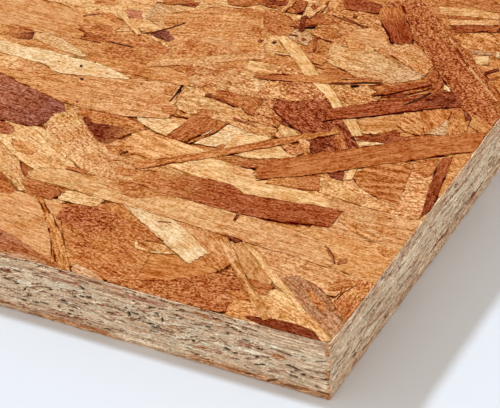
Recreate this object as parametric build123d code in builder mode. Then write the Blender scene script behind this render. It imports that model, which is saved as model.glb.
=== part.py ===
"""One full sheet of oriented strand board, lying flat as it is stored.

The sheet is pressed from glued wood strands and then sawn square on all four sides, so it is a
single solid of even thickness. Its face strands run along X, the long way of the sheet. The four
upright corners are a little blunt where two saw cuts meet and the sheet gets knocked, and the
arrises round both faces are rubbed off just enough not to be sharp.

The origin is the centre of the underside. X runs along the length, Y across the width and Z up.
"""

from build123d import *

import os

# Stock size of the sheet, in millimetres
sheet_length = 2440.0
sheet_width = 1220.0
board_thickness = 18.0

# Wear on the sawn edges, in millimetres
corner_radius = 0.8
arris_flat = 0.3

with BuildPart() as osb_panel:
    # The sawn outline of the sheet, with its blunt corners
    with BuildSketch(Plane.XY) as sawn_outline:
        Rectangle(sheet_length, sheet_width)
        fillet(sawn_outline.vertices(), radius=corner_radius)
    extrude(amount=board_thickness)

    # The rubbed arrises round the underside and round the upper face
    underside_rim = osb_panel.faces().sort_by(Axis.Z)[0].edges()
    upper_rim = osb_panel.faces().sort_by(Axis.Z)[-1].edges()
    chamfer(underside_rim + upper_rim, length=arris_flat)

osb_panel.part.label = "osb_panel"

os.makedirs("parts", exist_ok=True)
export_step(osb_panel.part, "parts/osb_panel.step")
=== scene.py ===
"""Dress one full sheet of oriented strand board and light it for a close view of one corner.

The sheet is shown as pressed wood strands. A plain brown core carries a face of overlapping
strands above and below, and a sawn band runs round the four edges. The strands of the near
corner are placed one by one. The rest of both faces is scattered to the same sizes and colours.

Shapes are worked out in millimetres and become metres when a mesh is written. Places near the
corner that the camera sees are measured from that corner: x is 0 on the right edge and falls to
the left, y is 0 on the front edge and grows away from it.
"""

import logging
import math
from dataclasses import dataclass, field
from enum import Enum

import bpy
import numpy as np
from mathutils import Matrix, Vector


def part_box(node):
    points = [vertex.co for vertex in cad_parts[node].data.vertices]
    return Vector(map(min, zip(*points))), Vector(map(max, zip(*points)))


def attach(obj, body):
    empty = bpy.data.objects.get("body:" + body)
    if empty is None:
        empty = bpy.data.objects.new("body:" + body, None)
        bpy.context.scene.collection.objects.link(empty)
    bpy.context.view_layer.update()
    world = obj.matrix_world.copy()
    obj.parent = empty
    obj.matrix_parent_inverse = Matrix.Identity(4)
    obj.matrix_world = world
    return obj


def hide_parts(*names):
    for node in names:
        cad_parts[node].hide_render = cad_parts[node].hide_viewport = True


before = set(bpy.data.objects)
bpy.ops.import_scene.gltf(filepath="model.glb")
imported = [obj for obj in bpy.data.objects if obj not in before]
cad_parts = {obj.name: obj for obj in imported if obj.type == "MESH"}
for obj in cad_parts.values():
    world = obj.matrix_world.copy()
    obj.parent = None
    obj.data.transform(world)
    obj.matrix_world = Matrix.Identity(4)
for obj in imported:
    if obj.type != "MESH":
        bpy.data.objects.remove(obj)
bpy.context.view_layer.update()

log = logging.getLogger("strand_board")

MILLIMETRE = 0.001
SCREEN_POWER = 2.2
NODE = "osb_panel"
BODY = "root"

# How far the noise may move from strand to strand, in millimetres
NOISE_SPREAD = 500

# A step of light or dark is a little larger in blue than in red, and it stops just above black
CHANNEL_STEPS = (0.95, 1.0, 1.06)
DEEPEST_SHADE = (0.04, 0.02, 0.01)

Point = tuple[float, float]
Line = tuple[float, ...]
Colour = tuple[float, float, float]
Cells = tuple[float, float, float]


def linear(red: float, green: float, blue: float) -> Colour:
    """Turn a screen colour of 0 to 255 into the linear colour that a shader takes.

    Args:
        red: Red of the screen colour.
        green: Its green.
        blue: Its blue.

    Returns:
        The linear colour.
    """
    scaled = [value / 255 for value in (red, green, blue)]
    return tuple(v / 12.92 if v <= 0.04045 else ((v + 0.055) / 1.055) ** 2.4 for v in scaled)


class Tone(Enum):
    """Wood colours of the strands, from the palest sapwood to the painted shade of gaps between strands."""

    CREAM = linear(244, 210, 162)
    VANILLA = linear(237, 193, 137)
    STRAW = linear(228, 179, 122)
    GREIGE = linear(214, 170, 124)
    DUN = linear(186, 138, 100)
    ROSE = linear(188, 120, 88)
    PEACH = linear(222, 167, 114)
    HONEY = linear(217, 158, 100)
    CARAMEL = linear(210, 146, 86)
    GINGER = linear(203, 135, 76)
    AMBER = linear(194, 124, 67)
    TAWNY = linear(184, 111, 58)
    SIENNA = linear(174, 98, 50)
    RUST = linear(162, 83, 41)
    BRICK = linear(147, 68, 32)
    UMBER = linear(122, 51, 22)
    PLUM = linear(142, 78, 58)
    MAUVE = linear(108, 48, 34)
    # The darkest tone is painted shade for the gaps between strands
    GAP_SHADE = linear(60, 20, 6)


class EdgeTone(Enum):
    """Colours on the sawn edges, which are paler and greyer than the pressed faces."""

    PALE = linear(252, 234, 204)
    BISCUIT = linear(246, 218, 184)
    SAND = linear(236, 203, 168)
    DRAB = linear(216, 182, 150)
    OCHRE = linear(226, 180, 136)
    COPPER = linear(200, 138, 94)
    CLAY = linear(196, 144, 116)
    BARK = linear(142, 92, 56)
    # The pit colour is painted shade in the pits between cut strands, which are also sunk into the edge
    PIT = linear(66, 36, 18)


@dataclass(frozen=True)
class Board:
    """Outer sizes of the sheet in millimetres, taken from the frame."""

    half_length: float
    half_width: float
    thickness: float

    @classmethod
    def from_frame(cls) -> "Board":
        """Read the sizes from the box of the sheet's own node.

        Returns:
            The sheet's sizes.
        """
        low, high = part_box(NODE)
        return cls(
            half_length=(high[0] - low[0]) / 2 / MILLIMETRE,
            half_width=(high[1] - low[1]) / 2 / MILLIMETRE,
            thickness=(high[2] - low[2]) / MILLIMETRE,
        )

    def near_corner(self) -> np.ndarray:
        """Give the corner that the camera sees, on the right at the front."""
        return np.array([self.half_length, -self.half_width])


@dataclass(frozen=True)
class Strand:
    """One listed strand, as the surface between its two side lines.

    Both side lines run the way of the grain, from the start of the strand to its end. Each one
    is a row of x and y in turn.
    """

    tone: Tone
    left: Line
    right: Line
    fades_to: Tone | None = None
    fray: float = 0.5
    blotch: float = 0.25
    rings: float = 0.0
    lift: float = 0.11
    # rim is the strength of the painted shade along the strand's edges
    rim: float = 1.0
    pepper: float = 0.35
    fade_over: Point = (0.0, 1.0)

    def sides(self) -> tuple[np.ndarray, np.ndarray]:
        """Give the left and the right side line, one row a point."""
        left, right = (np.array(line, float).reshape(-1, 2) for line in (self.left, self.right))
        return left, right


def crack(tone: Tone, left: Line, right: Line) -> Strand:
    """Make a thin dark line of painted gap shade with clean ends, just over the strands that it parts."""
    return Strand(tone, left, right, fray=0.1, lift=0.03, pepper=0)


def soft_patch(tone: Tone, left: Line, right: Line) -> Strand:
    """Make a soft patch with torn ends and hardly a rim, flush with the strand under it."""
    return Strand(tone, left, right, fray=1.2, blotch=0.6, lift=0.01, rim=0.1)


def bed_strands() -> list[Strand]:
    """List the wide plates that lie under all other strands of the near corner.

    Returns:
        Strands from the lowest to the highest.
    """
    t = Tone
    return [
        Strand(t.STRAW, (-190, 140, -150, 146, -110, 150, -60, 156), (-190, 96, -150, 96, -110, 100,
            -60, 108), blotch=0.3),
        Strand(t.GINGER, (-68, 178, -30, 184, 0, 178), (-68, 118, -30, 116, 0, 112), blotch=0.3),
        Strand(t.HONEY, (-176, 98, -150, 100, -110, 118), (-176, 58, -150, 56, -112, 70), blotch=0.4),
        Strand(t.HONEY, (-114, 118, -84, 120, -50, 118), (-114, 84, -84, 78, -50, 80), blotch=0.5),
        Strand(t.AMBER, (-56, 119, -28, 121, 0, 115), (-56, 84, -28, 80, 0, 82), blotch=0.5),
    ]


def far_right_strands() -> list[Strand]:
    """List the strands behind the middle, on the right, from the lowest to the highest.

    Returns:
        Strands from the lowest to the highest.
    """
    t = Tone
    return [
        Strand(t.GINGER, (-70, 151, -58, 153, -46, 150), (-68, 134, -57, 132, -46, 133), t.HONEY,
            pepper=0.7),
        Strand(t.RUST, (-64, 157, -59, 158.4, -54, 157), (-63, 154, -59, 155, -55, 153.6), fray=0.8),
        Strand(t.AMBER, (-40, 174, -30, 176, -20, 172), (-38, 164, -30, 163, -21, 164), t.TAWNY),
        Strand(t.GINGER, (-43, 167, -32, 169, -22, 168), (-40, 159.6, -30, 159, -20, 160)),
        Strand(t.CARAMEL, (-32, 154, -20, 157, -13, 149), (-30, 148, -22, 145, -14, 143), t.GINGER,
            rings=0.5, pepper=0.6),
        Strand(t.BRICK, (-32, 157, -25, 159.4, -18, 160), (-30, 154.4, -24, 155.4, -17.6, 158), t.UMBER),
        Strand(t.TAWNY, (-17, 137, -9, 131, -3, 123), (-16, 122, -9, 118, -4, 117), blotch=0.7),
        Strand(t.SIENNA, (-28, 134, -22, 133, -16, 126), (-27, 120, -20, 118, -14, 118), t.RUST, rings=0.8),
        Strand(t.STRAW, (-60.4, 132.6, -52, 131.4, -47, 133.4, -27.6, 126.6), (-58, 123, -44, 116.8,
            -35, 118.8, -29.6, 123.6), t.GREIGE, 0.9),
        Strand(t.PEACH, (-46, 143, -37, 141, -28, 134), (-44, 134, -28, 126), t.CARAMEL, 0.8, pepper=0.5),
        Strand(t.CARAMEL, (-63, 126, -57, 124.2), (-61.6, 119.6, -57.4, 119.8), t.GINGER, 0.8, 0.8),
        Strand(t.UMBER, (-61, 149.8, -59.4, 149.6), (-60.8, 148.4, -59.6, 148.2), fray=0.2, lift=0.04),
        Strand(t.BRICK, (-67, 147.6, -60, 145.8, -54, 145.4), (-67, 146.8, -60, 145, -54, 144.6), fray=0.2,
            lift=0.05),
        Strand(t.BRICK, (-37.6, 112, -31, 119.4, -25, 121.4), (-36.6, 109.6, -30, 113, -24.4, 120)),
        Strand(t.TAWNY, (-30.6, 115.8, -27.4, 118.8, -24.2, 122.4), (-30, 114.2, -26.6, 117.4,
            -23.8, 120.8), fray=0.8),
        Strand(t.SIENNA, (-28.6, 108.4, -25, 114.4, -23, 122, -25, 129, -28, 132.4), (-27.4, 107.6,
            -23.4, 113.6, -21.4, 122, -23.4, 130, -26.6, 133.2), lift=0.16),
        Strand(t.CREAM, (-21.4, 124.4, -17, 122.6), (-20.4, 121.2, -17.2, 121.6), fray=0.3),
        Strand(t.STRAW, (-51.4, 137, -46.8, 133.6), (-51, 134, -49.6, 130), fray=1),
        Strand(t.STRAW, (-20.4, 142.4, -17, 144.4, -13.8, 141.4), (-19, 140.6, -16, 138, -14, 140)),
        Strand(t.PEACH, (-15.4, 147.6, -12.6, 144), (-14.6, 146.2, -13.4, 143), fray=0.4),
        Strand(t.SIENNA, (-76.4, 136.5, -75, 140.4, -71.6, 143.6, -63.2, 144.7), (-75.9, 135.5,
            -72.8, 137.2, -69, 140.1, -62.5, 143), t.TAWNY, 0.4, 0.5, lift=0.1),
        Strand(t.UMBER, (-74.4, 136.3, -69, 139.6), (-73.9, 135.4, -69, 138.1), fray=0.2, lift=0.02,
            pepper=0),
        Strand(t.UMBER, (-75, 142.4, -73.8, 144.2), (-72.2, 134.6, -70.4, 134.7), fray=0.6, lift=0.05,
            pepper=0.2),
        Strand(t.CREAM, (-68.5, 138.5, -63.7, 139.9, -59.7, 137.6), (-68.2, 137.9, -63.3, 139.1,
            -59.6, 136.7), fray=0.2, lift=0.08, pepper=0.1),
        Strand(t.RUST, (-79.4, 147.7, -77.7, 149.7), (-76.8, 143.5, -75.4, 145.5), fray=0.8),
        Strand(t.PEACH, (-73.8, 143.6, -72.2, 152.8), (-72.3, 142.3, -70.4, 151.7), fray=0.6),
        Strand(t.AMBER, (-94, 138.5, -91.5, 141.6, -85.5, 140.3), (-92.1, 136.1, -87.5, 136.2,
            -84.7, 138.7), fray=0.8, rim=0.2, pepper=0.3),
        Strand(t.BRICK, (-88, 146.8, -82, 149.5), (-86.9, 145.3, -81.8, 146.3), fray=0.8),
        crack(t.TAWNY, (-76.6, 126.9, -75.7, 127.2), (-76, 125.9, -75.2, 126.2)),
        Strand(t.VANILLA, (-58.4, 136.9, -56.6, 138.6, -54.2, 137.5), (-56.4, 134, -54.7, 133.7,
            -54, 135.7), fray=0.8, pepper=0.2),
        Strand(t.UMBER, (-53.6, 132.1, -51.9, 137.5), (-53, 131.5, -51.6, 136.8), fray=0.2, lift=0.04,
            pepper=0),
        Strand(t.PEACH, (-58.2, 140.8, -53.3, 145.6, -47.1, 141.9), (-55.3, 135.7, -48, 135.2,
            -43.5, 136.6), fray=1, lift=0.04, rim=0, pepper=0.1),
        Strand(t.UMBER, (-63.8, 148, -55.6, 144.9), (-63.7, 147.2, -55.5, 144.2), fray=0.2, lift=0.04,
            pepper=0),
        Strand(t.STRAW, (-40.8, 164.8, -30.9, 167.3, -21.8, 168.6), (-37.9, 160.9, -28.9, 162.3,
            -20.3, 164.8), fray=0.8, rim=0.5, pepper=0.2),
        Strand(t.PEACH, (-36, 161, -27.1, 161.8, -20.1, 164.2), (-32.7, 156, -26, 159, -19, 161.5),
            fray=0.8, pepper=0.3),
        Strand(t.RUST, (-32.8, 155.6, -25.7, 158.5, -18.7, 160.7), (-29.8, 152.8, -25.6, 154.1,
            -17.7, 158.2), t.SIENNA, 1.2, 0.5, lift=0.14),
        Strand(t.VANILLA, (-19.3, 141.8, -15.3, 144.2), (-17.3, 138.4, -13.5, 138.8), fray=0.8, pepper=0.1),
        Strand(t.DUN, (-21.8, 145.6, -18.5, 145.9, -14.7, 145.7), (-20.3, 142.6, -14.8, 144.4), fray=0.8),
        Strand(t.CREAM, (-14.7, 147.3, -13.3, 146.9), (-13.5, 144.4, -12.1, 143.8)),
        Strand(t.BRICK, (-13.6, 135.2, -10.3, 139.3), (-13, 133.6, -9.7, 137.7), fray=1),
        Strand(t.RUST, (-11.6, 131.8, -8.6, 135), (-11, 131.1, -8.2, 133.9), fray=0.8),
        Strand(t.TAWNY, (-47, 166.6, -34, 155.4, -20, 141.4, -12, 132.4, 0, 116), (-56, 160.6, -48, 153.2,
            -30, 135, -10, 112, -1, 103.6), t.TAWNY, 0.9, 0.9, 0.5, 0.18, pepper=0.7),
        Strand(t.AMBER, (-50, 161, -39.4, 144.4, -38.2, 141.2), (-57.2, 157.5, -52, 149.4, -43.7, 138.4),
            t.BRICK, 1.6, 0.6, 0.4, 0.2, pepper=0.05, fade_over=(0.1, 0.55)),
        Strand(t.PEACH, (-31.7, 151.3, -18.5, 136.6, -4.1, 122.1), (-31.7, 150.3, -18.7, 135.6,
            -4.5, 121.4), fray=0.2, lift=0.06, pepper=0.1),
        Strand(t.RUST, (-68.8, 158.4, -62.8, 159.7, -55.8, 158.8), (-64.7, 151.6, -59.8, 153.1,
            -54.5, 153.5), t.BRICK, blotch=0.4, rim=0.5),
        Strand(t.AMBER, (-81.7, 140, -78.8, 139.4, -75.4, 137), (-81, 137.8, -74.6, 134.8), fray=1,
            blotch=0.6, rim=0.3),
        Strand(t.AMBER, (-67.2, 140.6, -60.9, 139.6), (-65.3, 135.1, -61.7, 134.2, -59.8, 135.6), fray=1.4,
            blotch=0.6, rim=0.2),
        Strand(t.CARAMEL, (-56.4, 134, -54, 135.7, -50.4, 134.8), (-54.5, 130.4, -52.1, 131.5,
            -49.2, 132.2), fray=1.2, blotch=0.4, rim=0.2),
        Strand(t.TAWNY, (-35.5, 160.6, -31.5, 162.4, -26.2, 163.5), (-34.6, 159.1, -25.5, 161.8), fray=0.8,
            rim=0.3),
    ]


def far_left_strands() -> list[Strand]:
    """List the strands behind the middle, on the left, from the lowest to the highest.

    Returns:
        Strands from the lowest to the highest.
    """
    t = Tone
    return [
        Strand(t.PEACH, (-172, 119, -146, 120.6, -125, 116.6), (-172, 103, -148, 102, -126, 105), t.HONEY,
            1, 0.3, 0.6, pepper=0),
        Strand(t.GREIGE, (-119, 133, -112, 133.6, -107, 130), (-118, 123, -112, 121, -107.6, 123), t.STRAW),
        Strand(t.CARAMEL, (-154.9, 101.6, -150.8, 104.1, -143.8, 102.7), (-152.1, 97, -147.4, 98.5,
            -142.2, 97.6), t.SIENNA, rim=0.3),
        Strand(t.STRAW, (-143.2, 102.3, -138.8, 103.6, -132.1, 101.5, -121.3, 96.5), (-141.4, 98.6,
            -125.7, 95.5, -121.3, 95.9), t.CREAM, rim=0.6, pepper=0.25),
        Strand(t.TAWNY, (-148.9, 97.5, -145.9, 100.5, -143.2, 102.3), (-147.2, 97, -143.9, 97.1,
            -142.2, 98.9), t.UMBER, 0.4, 0.3, lift=0.02, pepper=0.2),
        Strand(t.HONEY, (-134, 120.6, -128, 121.6, -121, 118), (-133.6, 109, -127, 107.4, -121.6, 109),
            t.CARAMEL, 1, 1, pepper=0.3),
        Strand(t.SIENNA, (-129.6, 107.6, -120, 108.2, -111.4, 107), (-129, 106.2, -121, 104.6, -112, 106)),
        Strand(t.HONEY, (-113, 127, -100, 139, -84, 141), (-105, 109, -90, 107, -75, 118), fray=1,
            blotch=0.5, rings=0.3),
        Strand(t.BRICK, (-114, 135.6, -106, 138.4), (-114, 134, -106.4, 134.6), fray=0.6),
        Strand(t.TAWNY, (-100.3, 143.1, -95.3, 145.3, -90.1, 148.3), (-98.1, 140, -92.9, 141, -89, 144.7),
            t.AMBER),
        Strand(t.GINGER, (-110.6, 128.4, -106.4, 124), (-109.4, 126.6, -107, 121.6), fray=0.6),
        Strand(t.GINGER, (-77, 119, -68, 121, -61, 118), (-74, 106, -66, 106, -57, 112), t.CARAMEL),
        Strand(t.AMBER, (-66.4, 137.4, -58, 134), (-64.6, 124.6, -60, 127), rings=0.5),
        Strand(t.TAWNY, (-88, 152, -82, 152, -76, 149), (-87, 145, -81, 143, -75, 144), blotch=0.8),
        Strand(t.AMBER, (-84, 147.4, -77, 146), (-83.6, 145.6, -78, 143.4), fray=1),
        Strand(t.RUST, (-75.6, 151.6, -70, 148.4), (-75, 149.4, -71, 145.6), fray=0.8),
        Strand(t.SIENNA, (-92, 150, -87, 152, -83, 150), (-91, 145, -87, 143.6, -84, 144), fray=1.2),
        Strand(t.UMBER, (-88.4, 148, -86, 148.6), (-88, 145, -86.4, 145), fray=0.8, blotch=0.8),
        Strand(t.HONEY, (-82.6, 150.6, -82.4, 142), (-80, 150.8, -80.4, 142.6), fray=0.8),
        Strand(t.SIENNA, (-80, 152, -77.6, 143.4), (-77, 152, -75.4, 144), fray=0.8),
        Strand(t.CARAMEL, (-74, 154, -72.6, 148, -73.4, 142), (-71, 155, -70.4, 148, -71.6, 143), fray=0.8),
        Strand(t.GINGER, (-68, 153, -61, 154, -54, 152), (-68, 147.4, -61, 146, -54, 145.6), fray=0.8),
        Strand(t.SIENNA, (-76.6, 138.4, -71, 146.6, -64, 147, -59.6, 145.4), (-75, 136.6, -69, 138.6,
            -64, 141, -60, 144.2), t.RUST, blotch=0.7),
        Strand(t.GREIGE, (-75, 136, -70, 136.4, -66, 134), (-74, 131, -70, 128.4, -66, 128), fray=1),
        Strand(t.UMBER, (-74.4, 132.2, -71, 132.6), (-74, 131.2, -71, 131.6), fray=0.4, lift=0.04),
        Strand(t.UMBER, (-69.4, 131.8, -68, 131.4), (-69, 130, -68, 129.8), fray=0.3, lift=0.04),
        Strand(t.RUST, (-68.4, 138.4, -63.2, 125.4), (-67.2, 138.4, -62.4, 126), fray=0.3),
        Strand(t.UMBER, (-80.8, 125.8, -79, 125.8), (-80.6, 124.2, -79.2, 124), fray=0.3, lift=0.04),
        Strand(t.RUST, (-76.6, 126.8, -75, 126.6), (-76.4, 125.2, -75.2, 125.4), fray=0.3, lift=0.04),
        Strand(t.UMBER, (-73, 120.4, -69, 120), (-72.8, 119.6, -69, 119.4), fray=0.3, lift=0.04),
        Strand(t.AMBER, (-86, 132.6, -82, 131.4), (-85.4, 130, -81.8, 128), fray=0.6),
        Strand(t.GAP_SHADE, (-75, 136.4, -68, 139.6), (-74.6, 135.4, -67.6, 138.6), fray=0.3, lift=0.03),
        Strand(t.MAUVE, (-111.6, 116.6, -108, 119.4, -103.4, 115.6), (-111, 114.8, -108, 114, -104, 113.6),
            t.PLUM),
        Strand(t.VANILLA, (-110.8, 114.8, -103, 111.8), (-110.2, 113.4, -103, 110.2)),
        Strand(t.VANILLA, (-126.1, 124.9, -113.6, 114.8), (-126.8, 122.6, -113.4, 111.7), fray=0.6,
            pepper=0.1),
        crack(t.GAP_SHADE, (-114.7, 113.6, -114, 113.8), (-114.2, 112.8, -113.6, 113)),
        Strand(t.UMBER, (-113.7, 115.1, -111.2, 116.6, -106.8, 122.4, -104.9, 125.8), (-113.4, 114.6,
            -110.8, 115.9, -106.5, 121.6, -104.7, 125.4), fray=0.2, lift=0.04, pepper=0),
        Strand(t.TAWNY, (-130, 112.1, -127.7, 114.7, -123.4, 114.3), (-128.8, 110, -125.3, 110.3,
            -122.6, 112.8), fray=0.8, lift=0.02, rim=0),
        Strand(t.TAWNY, (-129.7, 105.4, -125.7, 106.9, -120, 106.3, -111.8, 106.5), (-129.1, 104.4,
            -119.3, 105, -111.5, 106), fray=0.4, lift=0.05, pepper=0.2),
        Strand(t.UMBER, (-135, 116.7, -130.9, 119.9), (-134.6, 116, -130.5, 119.1), fray=0.1, lift=0.03,
            rim=0, pepper=1),
        Strand(t.PEACH, (-96.1, 115.7, -94.7, 121.4, -90.6, 122.5, -80.1, 115.9), (-91.1, 106.6, -86.1, 107,
            -82.1, 109.4, -78.4, 112.9), fray=0.8, rim=0.2, pepper=0.05),
        Strand(t.AMBER, (-87.7, 142, -83, 143.4, -77.4, 141.3, -73.8, 136.4), (-84, 134.5, -79.3, 130.1,
            -75, 129.5, -73.4, 132.1), t.GINGER, 1.6, 0.8, lift=0.01, rim=0, pepper=0.5),
        Strand(t.TAWNY, (-119.4, 136.6, -109.4, 141), (-116, 132.1, -107.7, 136.4), fray=1.2, blotch=0.5,
            rim=0.2),
        Strand(t.PEACH, (-142.5, 85.5, -136, 85.9, -129.5, 85.2), (-141.8, 80.9, -135.5, 80.6, -129.1, 81),
            fray=1.2, blotch=0.4, lift=0.01, rim=0.1),
        soft_patch(t.CARAMEL, (-138, 127.6, -130.5, 130.3), (-135.1, 123.6, -128.7, 125.8)),
        soft_patch(t.ROSE, (-125, 125.4, -119.5, 126.5), (-122.5, 121.3, -117.5, 122.2)),
    ]


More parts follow.
